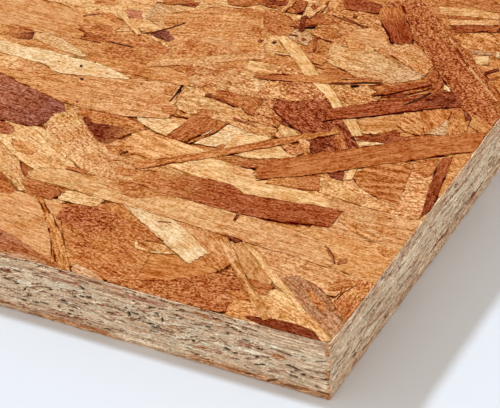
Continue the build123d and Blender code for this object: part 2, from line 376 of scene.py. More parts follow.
def middle_left_strands() -> list[Strand]:
    """List the strands of the middle, on the left, from the lowest to the highest.

    Returns:
        Strands from the lowest to the highest.
    """
    t = Tone
    return [
        Strand(t.VANILLA, (-176, 96, -150, 96, -140, 92), (-176, 78, -150, 76, -140, 78), t.STRAW),
        Strand(t.VANILLA, (-126, 58, -114, 57.6, -94, 42.4), (-126, 47, -106, 38, -98, 38.4), fray=0.6,
            rim=0.6, pepper=0.25),
        Strand(t.CARAMEL, (-119.4, 48.6, -113, 49.4, -109.6, 47), (-118.4, 46.6, -114, 43.6, -110, 44),
            t.HONEY),
        Strand(t.SIENNA, (-127.4, 55.6, -123, 55.4, -120.6, 52.4), (-126.6, 52, -124, 49.6, -121, 51),
            t.ROSE, blotch=0.6, rim=0.3),
        Strand(t.STRAW, (-110, 63, -66, 58.6, -60, 54), (-110, 52, -98, 46, -90, 42.6, -68, 42), t.HONEY,
            blotch=0.35, rings=0.4, rim=0.6),
        Strand(t.STRAW, (-116, 71, -106, 71.4, -97, 66, -92, 59), (-118, 60, -110, 56.6, -100, 54.6,
            -94, 54), t.GREIGE, blotch=0.5, rim=0.6, pepper=0.45),
        Strand(t.CARAMEL, (-122, 112, -112, 113, -102, 110), (-123, 96, -112, 95, -102, 98), blotch=0.9,
            rim=0.6),
        Strand(t.UMBER, (-120.6, 106.6, -112, 106.6), (-120.4, 105.8, -112, 105.8), fray=0.3, lift=0.03),
        Strand(t.CARAMEL, (-122, 97.4, -100, 101, -88, 104), (-122, 93, -100, 93, -87, 93.6), t.HONEY,
            blotch=0.5, rim=0.6, pepper=0.2),
        Strand(t.CARAMEL, (-100, 118, -86, 117, -76, 112), (-99, 101, -88, 99, -78, 100), t.HONEY,
            blotch=0.8, rim=0.6),
        Strand(t.PEACH, (-105, 101.4, -90, 111.2, -75.6, 119.6), (-103.4, 97.6, -74, 116), rim=0.6),
        Strand(t.STRAW, (-93, 108.8, -85, 107.8, -77.4, 106.2), (-91, 99, -87, 93.6, -79, 98), t.PEACH, 0.8,
            0.9, rim=0.6, pepper=0.4),
        Strand(t.STRAW, (-78, 113.4, -68, 114.6, -60.6, 112), (-77, 104, -71, 101.6, -65, 106), t.PEACH,
            0.6, 0.3, 0.7, rim=0.6),
        Strand(t.PEACH, (-81, 104.6, -71, 105.6, -61, 104), (-80, 95, -70, 93.6, -61, 96), t.VANILLA,
            rim=0.6, pepper=0.6),
        Strand(t.TAWNY, (-73, 106.4, -66, 109.6, -60, 114.2, -50, 117, -38, 119), (-72.8, 105.4, -64, 105.6,
            -46, 114.4, -38, 117.6), fray=0.4, blotch=0.5, lift=0.17),
        Strand(t.TAWNY, (-79.6, 95.4, -70.1, 96.1), (-76.3, 90.9, -72, 89.9, -68, 89.4), t.AMBER, 0.8, 0.5,
            rim=0.5, pepper=0.4),
        Strand(t.AMBER, (-70.3, 96.6, -64.5, 95.6), (-68.5, 89.2, -63.6, 86.1), t.TAWNY, 0.8),
        Strand(t.PEACH, (-102, 60, -93, 61, -86, 58.6), (-102, 50, -94, 48, -86, 52), blotch=0.5, rim=0.6),
        Strand(t.HONEY, (-90, 68.6, -64, 65.4, -56, 64), (-91, 57, -66, 53, -56, 52), t.VANILLA, 0.6, 0.3,
            1, rim=0.6, pepper=0.2),
        Strand(t.AMBER, (-94.9, 56.8, -89.6, 57.5, -86.3, 60.6), (-92.7, 53.9, -87.2, 53, -82.9, 57.2),
            t.CARAMEL, 1.5, 0.8, lift=0.01, rim=0.2, pepper=0.5),
        Strand(t.VANILLA, (-70.4, 64.4, -58, 62.8), (-70, 55.6, -57, 54.4), blotch=0.15, rim=0.6),
        Strand(t.TAWNY, (-89.6, 56.4, -86.4, 56), (-89, 54.6, -87, 53.8), fray=0.6, lift=0.04, rim=0.3),
        Strand(t.GINGER, (-111, 71.6, -100, 72.6, -89, 71.6), (-109, 67.4, -100, 68, -89, 68), t.AMBER, 0.9,
            0.6, rim=0.6),
        Strand(t.UMBER, (-107.1, 66.6, -104.4, 69.3, -98.9, 70.9, -92.8, 71.3, -88, 68.9), (-105.6, 65,
            -97.2, 57.4, -93.7, 57.3, -90.5, 65.5, -87.7, 68.4), t.GINGER, 0.8, 0.5, rim=0.4,
            fade_over=(0.35, 1)),
        Strand(t.AMBER, (-107.4, 68.2, -102.5, 71.6, -96.1, 72.1, -88, 68.9), (-104, 65.1, -93.6, 67,
            -88.8, 66.8), t.GINGER, 1.8, 0.6, lift=0.01, rim=0, pepper=0.5),
        Strand(t.ROSE, (-166, 82, -141, 80, -134, 79, -128, 76, -122, 74.6, -116, 72, -112.6, 67),
            (-166, 60, -122, 55.8, -117, 56.8, -113.4, 62), t.PLUM, 2.5, 0.3, rim=0.4, pepper=0.4,
            fade_over=(0.2, 1)),
        Strand(t.STRAW, (-115.6, 64.5, -111.8, 68, -106.6, 65.7, -93.4, 53.5, -83.6, 45.9), (-114.8, 58.6,
            -105, 48.3, -98.5, 45.7, -90.1, 40.8, -83.3, 39.6), t.PEACH, 2, 0.5, lift=0.05, rim=0.3,
            pepper=0.5),
        Strand(t.VANILLA, (-115.2, 57.2, -110.4, 55.4, -104.8, 50.1), (-115.7, 55.8, -109.6, 51.3,
            -104.7, 48.4), fray=1, rim=0.4, pepper=0.2),
        Strand(t.UMBER, (-88.4, 54.3, -86.9, 56.7), (-88, 53.8, -86.6, 55.8), fray=0.2, lift=0.04,
            pepper=0),
        Strand(t.CREAM, (-93.6, 73.6, -86, 76.4, -79.6, 74.6), (-92, 71.6, -88, 69.6, -81, 67.2),
            t.VANILLA),
        Strand(t.CARAMEL, (-144, 80.6, -130, 82.4, -120, 86.2, -105, 90.7, -97, 92.4, -88.4, 92.4),
            (-143, 78.6, -128, 74.2, -115, 71, -100, 71.3, -92, 73, -84.6, 76), t.PEACH, 0.9, 0.35, 0.6,
            0.16, pepper=0.25),
        Strand(t.CREAM, (-72.6, 77, -67, 80.8, -60, 79.8, -55, 77.8), (-72.6, 67.4, -66, 68.8, -58, 73),
            fray=0.9),
        Strand(t.AMBER, (-72, 82.2, -70.6, 74.4, -74.6, 67), (-67.6, 81.4, -69.4, 74, -73.4, 66.6)),
        Strand(t.TAWNY, (-79.4, 82.6, -79.6, 75, -81, 67), (-70.6, 81.8, -71.6, 74.2, -75, 66.8), fray=0.8,
            blotch=0.6, rim=0.5),
        Strand(t.STRAW, (-88.4, 93.4, -83, 93.4, -75, 90.9, -54, 83), (-87.4, 84.6, -83, 80.4, -72, 81,
            -54, 77.6), t.HONEY, 2, 0.2, 0.3, 0.16, pepper=0.5),
        Strand(t.RUST, (-81, 92, -75, 91.2, -70, 89.8), (-81, 90.8, -70, 88.6), fray=0.3, lift=0.03),
        Strand(t.RUST, (-68.4, 84, -60, 82.6), (-68, 82.8, -60, 81.6), fray=0.6, lift=0.03),
        Strand(t.CREAM, (-160, 93.4, -138, 94.8, -118, 94.4, -104.4, 90.8), (-160, 88, -133, 87.8,
            -126, 84.8, -120, 85.8, -105, 89.8), fray=0.4, blotch=0.1, lift=0.15, pepper=0.15),
        crack(t.GAP_SHADE, (-128.9, 90.8, -128.3, 91), (-128.5, 90.2, -128, 90.3)),
        crack(t.GAP_SHADE, (-121.7, 91.1, -120.9, 91.4), (-121.1, 90.2, -120.4, 90.4)),
        crack(t.UMBER, (-133, 89.5, -132.5, 89.7), (-132.6, 89, -132.2, 89.1)),
        crack(t.UMBER, (-112.7, 90.3, -112.2, 90.5), (-112.3, 89.8, -111.8, 89.9)),
        crack(t.UMBER, (-118.5, 94.1, -118.1, 94.3), (-118.2, 93.6, -117.8, 93.7)),
        crack(t.GAP_SHADE, (-118.1, 84.9, -117.1, 85.2), (-117.4, 83.9, -116.5, 84.1)),
        crack(t.UMBER, (-101, 89.4, -100.3, 89.6), (-100.5, 88.6, -99.8, 88.8)),
        crack(t.UMBER, (-127.4, 76.3, -126.7, 76.5), (-126.9, 75.5, -126.3, 75.7)),
        crack(t.UMBER, (-112.8, 73.2, -112.2, 73.4), (-112.4, 72.6, -111.9, 72.8)),
        crack(t.UMBER, (-107.3, 77.4, -106.8, 77.6), (-106.9, 76.9, -106.5, 77)),
        Strand(t.GAP_SHADE, (-88.9, 93.6, -88.4, 89, -88.3, 83.8), (-89.5, 93.6, -88.6, 83.6), fray=0.4,
            lift=0.02, pepper=0),
        Strand(t.UMBER, (-81.3, 91.9, -74.7, 90.1), (-80.9, 91.2, -77.9, 90.2, -74.3, 89.5), fray=0.3,
            lift=0.02, pepper=0),
        Strand(t.TAWNY, (-93.5, 102.5, -91.6, 104.5), (-90.1, 97.9, -88.3, 99.9), fray=1, blotch=0.6,
            lift=0.01, rim=0),
        Strand(t.AMBER, (-94.1, 91.3, -90.2, 91.8), (-92.1, 86.8, -89.2, 86.9), fray=1, blotch=0.6,
            lift=0.01, rim=0),
        soft_patch(t.AMBER, (-87.5, 48.5, -83.1, 49.4, -78.7, 49.2), (-85.1, 45.2, -81, 45.5, -77.3, 46.6)),
        soft_patch(t.AMBER, (-79.8, 83.5, -77.3, 84.6, -74.7, 84.6), (-77.9, 79.7, -74.9, 79.9,
            -73.3, 81.8)),
        soft_patch(t.AMBER, (-90.1, 81.2, -88, 82.1, -84.5, 81.4), (-88.1, 78, -85.8, 77.9, -83.7, 78.8)),
    ]


def middle_right_strands() -> list[Strand]:
    """List the strands of the middle, on the right, from the lowest to the highest.

    Returns:
        Strands from the lowest to the highest.
    """
    t = Tone
    return [
        Strand(t.VANILLA, (-66, 64, -44, 62, -20, 61, 0, 59.5), (-66, 50, -40, 50, -20, 52, 0, 53), t.STRAW,
            blotch=0.35, rings=0.3, rim=0.5, pepper=0.1),
        Strand(t.CARAMEL, (-57, 113, -46, 117, -35, 112.6), (-53, 104, -43, 98, -35, 99), t.HONEY,
            rings=0.6, pepper=0.7),
        Strand(t.HONEY, (-68, 116, -55, 109, -46, 103), (-68, 96, -57, 96, -49, 99), t.PEACH, blotch=1,
            pepper=0.7),
        Strand(t.STRAW, (-36, 76, -24, 78, -13, 85, -4, 92), (-35, 59, -18, 56.6, -6, 56, 0, 60), t.PEACH,
            0.6, 0.5, rim=0.4, pepper=0.6),
        Strand(t.CARAMEL, (-7, 93, 0, 97), (-4, 74, 0, 70), t.HONEY),
        Strand(t.CARAMEL, (-46, 64, -40, 67, -33.6, 67.6), (-46, 57.6, -37, 58.6, -30.6, 60), t.TAWNY,
            rim=0.5, pepper=0.4),
        Strand(t.UMBER, (-32.8, 69.4, -29.2, 73.2), (-31, 67.5, -27, 67.2), fray=0.4),
        Strand(t.GINGER, (-25.4, 73, -23.4, 78, -18, 82.4, -13, 83.6), (-26.4, 71, -22, 66.2, -16, 63.6,
            -9, 62), t.AMBER, 0.4, 0.4, 1.4),
        Strand(t.VANILLA, (-28, 73, -26, 74.6), (-27, 67.8, -25, 69), fray=0.6),
        Strand(t.STRAW, (-32.8, 67, -26, 65.6, -19.8, 62.4), (-30, 59.8, -25, 58.8, -20.6, 59.4),
            pepper=0.5),
        Strand(t.HONEY, (-64, 97, -60, 97, -54, 90), (-64, 84, -55, 84), t.AMBER, blotch=0.9, pepper=0.7),
        Strand(t.VANILLA, (-74.9, 130.5, -72.1, 129.5, -66, 124.7, -54.5, 113.2, -48.2, 108.3, -37.9, 97.1),
            (-76.6, 128.8, -59.5, 112.2, -53.8, 108.1, -48.2, 103.5, -39.6, 94.1), fray=0.4, blotch=0,
            lift=0.14, rim=0.6, pepper=0.05),
        Strand(t.SIENNA, (-72.8, 106.2, -66.5, 110.3, -55.5, 114, -49.6, 114.8, -38.3, 118.1),
            (-72.6, 105.7, -67.5, 105.8, -60.3, 107.9, -38.7, 115.5, -37.9, 117.3), t.GINGER, 0.4, 0.5,
            lift=0.16, pepper=0.2, fade_over=(0.05, 0.4)),
        Strand(t.UMBER, (-51.1, 111.8, -38.4, 117.7), (-50.8, 111.3, -45.2, 113.4, -38, 116.9), fray=0.2,
            lift=0.05, pepper=0),
        Strand(t.GAP_SHADE, (-45.5, 112.7, -43.2, 113.7), (-44.9, 111.9, -42.7, 113.2), fray=0.2, lift=0.03,
            pepper=0),
        Strand(t.HONEY, (-37, 98, -31, 103.8, -25.4, 107), (-34, 91.6, -27, 92.6, -18.4, 95.6), t.CARAMEL,
            0.4, 0.3, 0.9, pepper=0.2),
        Strand(t.HONEY, (-26.2, 107.4, -22, 109.4, -17.8, 104.8), (-25.4, 99, -21, 95.8, -16.8, 96.6),
            t.CARAMEL, rings=0.9),
        Strand(t.AMBER, (-21.6, 112.6, -14, 112.6, -13, 106), (-21.4, 107, -18, 101, -15.4, 97.6),
            rings=0.6),
        Strand(t.GREIGE, (-13.4, 107.4, -9.8, 104), (-16.4, 97.8, -10.8, 99.6), blotch=0.1),
        Strand(t.CARAMEL, (-12.6, 112.6, -8, 111, -6.4, 104), (-12.6, 106, -10.6, 101, -9, 98.6)),
        Strand(t.CARAMEL, (-7.6, 113, 0, 109), (-6.8, 107, 0, 103), t.GINGER, blotch=1),
        Strand(t.UMBER, (-10.3, 113.5, -7.2, 110.3), (-10.5, 111.7, -8.2, 108.2), fray=0.1, lift=0.02),
        Strand(t.VANILLA, (-39.2, 99.4, -35.5, 95.9, -31.5, 90.3, -27.5, 85.4), (-42.1, 96.9, -28.6, 83.2),
            rim=0.6, pepper=0.05),
        Strand(t.BRICK, (-34.4, 88.7, -27.7, 92, -24.2, 97), (-32.5, 87.1, -29, 88.1, -24.7, 88.6,
            -21.1, 90.5, -18.2, 93.5), t.RUST, 1.6, 0.5),
        Strand(t.STRAW, (-32.8, 92.8, -27.8, 93.8), (-32, 91, -28, 92.2), fray=0.6),
        Strand(t.CREAM, (-30.4, 87.2, -26, 88.8, -22.6, 88.8), (-30, 85.2, -27, 86.4, -23, 87)),
        Strand(t.RUST, (-62.6, 97.7, -56, 98.9, -51.8, 101.9, -48.7, 103.3, -33.8, 88.7, -28.7, 82.7),
            (-60.4, 92.6, -53.6, 87, -48, 84.6, -44, 81, -40, 76, -35, 72), t.BRICK, 1.4, 0.6, 0.5,
            pepper=0.6),
        Strand(t.TAWNY, (-40, 92.6, -35, 86.4, -30.6, 80), (-41.6, 90, -33, 78.6), t.SIENNA, 1.4, 0.7),
        Strand(t.UMBER, (-45, 86.4, -41.6, 87.4, -37.4, 82), (-45.4, 81, -39.6, 75.6), fray=1),
        Strand(t.VANILLA, (-55, 86.6, -50, 85.4, -47, 82), (-54.4, 83.4, -52, 81, -49, 80), fray=1),
        Strand(t.UMBER, (-55.8, 88.6, -51.6, 86.8), (-55, 86.6, -52.6, 85.4), fray=0.8, lift=0.02),
        Strand(t.RUST, (-45.6, 98.4, -36.4, 107.2, -30, 112.6, -23, 118, -16, 121.8), (-44.4, 92.4,
            -36, 97.8, -20, 110, -11.6, 116), t.BRICK, 0.8, 0.6, 0.6, 0.16),
        Strand(t.GINGER, (-66, 70, -56, 72, -46, 75), (-66, 63, -54, 62, -46, 66), t.TAWNY, blotch=0.9),
        Strand(t.VANILLA, (-64, 76, -56, 79, -49.6, 79, -43, 75.6), (-64, 66.4, -54, 67, -48.6, 70,
            -44, 72), fray=0.6, blotch=0.3, pepper=0.15),
        Strand(t.CARAMEL, (-50.6, 78.6, -46, 78, -42.6, 75.6), (-50, 76, -47, 73.6, -43.8, 73.6), fray=1.4,
            blotch=1, lift=0.03),
        Strand(t.GINGER, (-83, 51.8, -63, 68.6, -51, 80.6, -38.6, 90), (-80.8, 49.2, -61, 65.6, -49, 77.6,
            -37.6, 88), t.AMBER, 0.4, 0.5, 0.4, 0.22),
        Strand(t.RUST, (-7.2, 88.5, -6.3, 80.8, -1.4, 59), (-4.7, 90.2, -3.1, 82.8, -0.1, 64.7), t.UMBER,
            0.4, 0.3, lift=0.16, pepper=0.15),
        Strand(t.TAWNY, (-51.8, 61.6, -47, 70, -40, 76, -10, 100, 0, 106), (-48.4, 57.8, -45, 60.4, -38, 65,
            -30, 71, -22, 78, -14, 84, -7, 90, 0, 95), fray=2.2, blotch=0.5, rings=0.4, lift=0.22,
            pepper=0.1),
        Strand(t.SIENNA, (-38.1, 110.7, -35.7, 115, -32.1, 120.2, -25.3, 123.9), (-37.4, 109.9, -34.1, 112,
            -24.2, 122), t.RUST, 0.4, 0.6, lift=0.14, pepper=0.3),
        Strand(t.UMBER, (-22.9, 116, -20.7, 119.6, -17.6, 121.6), (-23.2, 112.4, -18, 113, -11.4, 114.8),
            fray=1, blotch=0.9, lift=0.05, rim=0.3),
        Strand(t.GAP_SHADE, (-27.6, 109.2, -23, 118.4), (-27.2, 108.9, -24.7, 113, -22.7, 117.7), fray=0.2,
            lift=0.02, pepper=0),
        Strand(t.PEACH, (-47, 81.1, -45, 81.4, -43.1, 80.6), (-45, 78.1, -42.4, 76.5, -40.7, 76.2),
            fray=0.8, lift=0.03, rim=0.2),
        soft_patch(t.AMBER, (-12.8, 84.4, -10.2, 86.6, -7.5, 87.8), (-11.8, 79.4, -8, 77.9, -6.3, 80.8)),
        soft_patch(t.AMBER, (-7.4, 56.3, -4.2, 56.2, -1, 54.6), (-5.7, 53, -0.3, 50.9)),
        soft_patch(t.AMBER, (-20.8, 55.3, -17.7, 56.2, -13.4, 55.6), (-19.8, 53.2, -16.2, 52.8,
            -12.9, 53.2)),
    ]


def front_strands() -> list[Strand]:
    """List the strands nearest to the corner from the lowest to the highest.

    Returns:
        Strands from the lowest to the highest.
    """
    t = Tone
    return [
        # Front left of the corner: wide plates that reach the front edge
        Strand(t.PEACH, (-138, 26, -108, 27, -90, 28, -76, 12), (-138, 0, -74, 0), pepper=0),
        Strand(t.GINGER, (-70, 27, -52, 26, -44, 24.5, -39.5, 21, -38.2, 18.5), (-70, 1, -57, 3.8, -50, 6.6,
            -44, 10.2, -40, 14.5), fray=0.6, blotch=0.3, rings=0.9, pepper=0.05),
        Strand(t.GINGER, (-91, 27, -82, 30.5, -76, 34, -68, 33, -62, 30, -59, 22), (-88.5, 21.6, -76.1, 3.2,
            -66.1, 0.1, -56.2, 3.6), blotch=0.8),
        Strand(t.AMBER, (-63, 3.4, -56, 4.2, -50, 7, -45, 10, -40, 15.6, -33, 16.6, -29, 13), (-63, 0,
            -45, 0, -31, 0.6, -28.5, 3), t.TAWNY, 0.8, 0.5, rim=0.6, pepper=0.6),
        Strand(t.SIENNA, (-90, 26.5, -84, 28.6, -76, 28.5, -70, 25), (-89, 20, -80, 17.5, -73, 20), t.TAWNY,
            2, 0.9, lift=0.02, rim=0.3, pepper=0.7),
        Strand(t.ROSE, (-110, 12, -100, 9.8, -92, 7.2, -76, 0.7), (-110, 0, -76, 0.2), t.TAWNY, 0.2,
            rim=0.4, pepper=0.15),
        Strand(t.VANILLA, (-95, 34, -80, 34), (-93, 28, -86, 28, -81.5, 29.3), t.STRAW, 1),
        Strand(t.AMBER, (-108, 34, -91.5, 34), (-106, 28.5, -100, 26.3, -94, 26.8), t.SIENNA, 1.2, 0.5,
            rim=0.5),
        Strand(t.AMBER, (-116, 31, -108, 29.5, -104.5, 26.5), (-116, 23, -105.5, 25), fray=1.2, blotch=0.8,
            rim=0.5),
        Strand(t.STRAW, (-122, 47, -112, 40, -106, 33), (-122, 41, -112, 35.5, -106, 30.5), t.PEACH,
            rim=0.3),
        Strand(t.STRAW, (-120, 41, -110, 34.5, -102.5, 28), (-120, 37.1, -111, 31.7, -104.3, 27.2),
            rim=0.4),
        Strand(t.GINGER, (-97.2, 27.2, -90.3, 20.6, -84.2, 13, -78.6, 3.6), (-98.6, 26.6, -91.6, 19.4,
            -85.5, 11.5, -79.6, 1.4), fray=0.2, lift=0.16),
        Strand(t.CARAMEL, (-91, 21.4, -84, 14.7, -73.2, 0.3), (-92.2, 19.6, -86, 12.4, -81, 5, -76.4, 0.3),
            fray=0.2, rings=0.5, lift=0.16, pepper=0.4),
        Strand(t.HONEY, (-62.3, 20.6, -58, 22, -52.5, 21), (-62.6, 19, -58, 17.2, -52.6, 18.2)),
        Strand(t.VANILLA, (-64.2, 19.8, -62.4, 17.2, -58, 17.1, -52.4, 19), (-64.8, 19.2, -63, 16,
            -58, 16.2, -52.4, 18.3), fray=0.1, lift=0.2),
        # Right of the corner: plates between the long pale strand and the right edge
        Strand(t.PEACH, (-26, 59, -10, 58, 0, 57), (-26, 42, 0, 43.6), rings=0.8, pepper=0.2),
        Strand(t.HONEY, (-42, 41, -30, 42.8, -20, 43.9, 0, 44.5), (-42, 29, -14, 28.6, 0, 27.4), fray=0.3,
            blotch=0.15, pepper=0.15),
        Strand(t.HONEY, (-21, 52.5, -9, 47.4, -6.2, 46.9), (-21, 50, -14, 46, -8.5, 44.6, -6, 45.6),
            fray=0.3, rings=0.6, lift=0.07),
        Strand(t.PEACH, (-38, 31, -24, 30.5, -13, 29.6, -3.6, 28.2), (-38, 26, -26, 20, -18, 17, -7.2, 19),
            blotch=0.3, rings=0.3, pepper=0.3),
        Strand(t.HONEY, (-4.2, 27.9, -7.1, 22, -6.6, 15.5, -3, 11), (0, 27.9, 0, 8), t.TAWNY, 0.4, 0.8,
            pepper=0.5, fade_over=(0.25, 0.9)),
        Strand(t.DUN, (-20, 23, -12, 20.6, -6.5, 15.6, 0, 10.4), (-25, 20, -14, 11, -6, 4, 0, 0), t.GREIGE,
            0.4, 0.6, rim=0.3, fade_over=(0.6, 1.4)),
        Strand(t.AMBER, (-15.7, 19.6, -11.2, 17, -6.8, 13), (-15.3, 17.5, -7, 11), fray=1.6, blotch=0.4,
            lift=0.01, rim=0, pepper=0.5),
        Strand(t.HONEY, (-42, 31.5, -33, 27, -24, 18), (-42, 24, -33, 16.5, -25, 9), blotch=0.1, rim=0.2,
            pepper=0.1),
        Strand(t.AMBER, (-33, 10.8, -30, 11.6, -25, 10.4), (-33, 7.8, -24, 6), fray=0.8),
        Strand(t.STRAW, (-25.5, 12, -22.4, 15.6, -18, 14.6, -3, 4), (-24.5, 8, -18, 2, -1, 0), t.VANILLA,
            0.9, rim=0.4, pepper=0.3),
        Strand(t.CARAMEL, (-29.8, 7.3, -20, 8), (-30.6, 0, -18, 0), t.PEACH, 1.6, 0.2, rim=0.4, pepper=0.4),
        Strand(t.TAWNY, (-32, 16.6, -27, 17, -22.8, 16), (-29, 13, -25.6, 10.4, -23.2, 12), fray=0.6),
        Strand(t.UMBER, (-24.2, 2.2, -19, 3.5, -13, 4.3, -8, 4, -5, 2.8, -2.4, 0.9), (-23.6, 1.2, -18, 0.1,
            -2.2, 0.1), fray=0.3, lift=0.08, pepper=0),
        Strand(t.PEACH, (-60, 33, -46, 32, -40, 27, -36.5, 21), (-58, 30, -50, 24, -43, 18, -38.6, 16.4),
            t.GINGER, 0.9, 0.4, 0.3, rim=0.5, pepper=0.2),
        Strand(t.CREAM, (-77, 35, -59, 32, -44.2, 22.2), (-76, 33, -60, 23.3, -54, 19.3, -47, 16), fray=1.1,
            blotch=0.12, lift=0.13, pepper=0.1),
        Strand(t.UMBER, (-63.4, 29.9, -60, 31), (-63.2, 29.3, -60, 30.6), fray=0.1, lift=0.03),
        Strand(t.VANILLA, (-39, 30.9, -32, 27.6, -26.3, 22.4, -19.7, 17.4, -11.4, 9.9, -4.4, 5.4, 0.3, 1.7),
            (-39.1, 30.4, -26.6, 19.5, -21.1, 15.8, -14.6, 10.8, -8.9, 5.6, -2.2, 0.1), t.STRAW, 0.3, 0.3,
            0.9, 0.12, 0.5, 0.2),
        Strand(t.PEACH, (-43.8, 31.2, -32.3, 18.3, -17.7, 3.9), (-45.7, 30.3, -43.2, 26.5, -32.7, 15.2,
            -24.8, 7.1, -19.2, 1.9), t.HONEY, 0.7, 0.3, 0.9, 0.12, 0.5, 0.2),
        # The long pale strand and the square-ended rust strand behind it
        Strand(t.STRAW, (-107.4, 37, -103, 40.8, -95, 41.7, -80, 42.6, -62, 43, -48, 42.6, -24, 40.4,
            -19.8, 38.8, -13, 31.6), (-106.4, 33.8, -62, 32.4, -32, 30.3, -25, 30.3, -18, 29.3,
            -13.8, 29.2), t.PEACH, 0.8, 0.3, 0.4, 0.15, 0.7, 0.12),
        Strand(t.AMBER, (-83.5, 43.3, -79.1, 43.1, -70.3, 43.9, -65.3, 43.5), (-79, 37.4, -74.7, 36.7,
            -68.6, 40.7, -63.7, 41.6), t.CARAMEL, 1.6, 0.5, lift=0.01, rim=0.15, pepper=0.4),
        Strand(t.DUN, (-98, 1.7, -91.1, 2.3, -86.3, 2.3, -80.5, 1.5), (-96.3, -1.1, -89.7, 0, -79.7, 0.1),
            fray=1.2, blotch=0.3, lift=0.01, rim=0, pepper=0.3),
        Strand(t.GREIGE, (-75.9, 4.8, -69, 3.1, -64.7, 1.7), (-73.4, 0.6, -63.2, 0), fray=1.4, blotch=0.4,
            lift=0.01, rim=0, pepper=0.3),
        Strand(t.SIENNA, (-13.2, 33.4, -11, 34.6), (-12.6, 31.4, -10.6, 32.8), fray=0.3),
        Strand(t.UMBER, (-45, 31.6, -38.8, 31.2), (-43.6, 30.8, -40.4, 29.2), fray=0.8, lift=0.02),
        Strand(t.UMBER, (-46.2, 41.4, -45.2, 41.2), (-45.8, 38.2, -44.8, 38), fray=0.3, lift=0.03),
        Strand(t.AMBER, (-98.6, 43.3, -91.8, 43.4), (-98.2, 41.4, -92, 41.2), fray=0.8, blotch=0.8),
        Strand(t.CARAMEL, (-80, 49.5, -66, 52.6, -58, 53.4, -52, 53.3, -50.2, 51, -44, 51.3, -27, 54,
            -21, 54.1), (-79, 43.5, -71, 42.2, -48, 41.7, -40, 42, -21.2, 45.9), t.RUST, 0.35, 0.8,
            lift=0.16, rim=0.5, pepper=0.3, fade_over=(0, 0.5)),
        Strand(t.GAP_SHADE, (-6.5, 17.7, -6.1, 21, -3.6, 27.3), (-6.1, 17.5, -5.9, 20.6, -3.5, 27), lift=0.02,
            rim=0),
        Strand(t.UMBER, (-19.1, 38.4, -17, 36.9, -14.7, 34.5, -13.2, 31.8), (-19.1, 38.2, -14.8, 34,
            -13.3, 31.3), fray=0.4, lift=0.02, rim=0),
        Strand(t.CARAMEL, (-6.7, 43, -4.2, 43.7, -0.7, 42.8), (-5, 40.4, -2.4, 39.6, -0.8, 40.3), fray=1,
            blotch=0.6, lift=0.01, rim=0.1),
        soft_patch(t.CARAMEL, (-9.9, 51.6, -7.4, 52.2, -4.4, 52), (-8.6, 48.6, -3.8, 49.3)),
        soft_patch(t.AMBER, (-11.5, 22.5, -9.7, 24.7, -7.2, 27.8), (-9.8, 20, -7, 21.3, -5.3, 25.3)),
    ]


def near_corner_strands() -> list[Strand]:
    """Gather all listed strands in the order in which they were laid.

    Returns:
        Strands with their side lines in millimetres from the corner, read off the picture.
    """
    # Most thin dark umber strands with a small lift, and the gap strands, are painted shade along strand
    # edges and in gaps
    return (bed_strands() + far_left_strands() + far_right_strands() + middle_left_strands()
            + middle_right_strands() + front_strands())


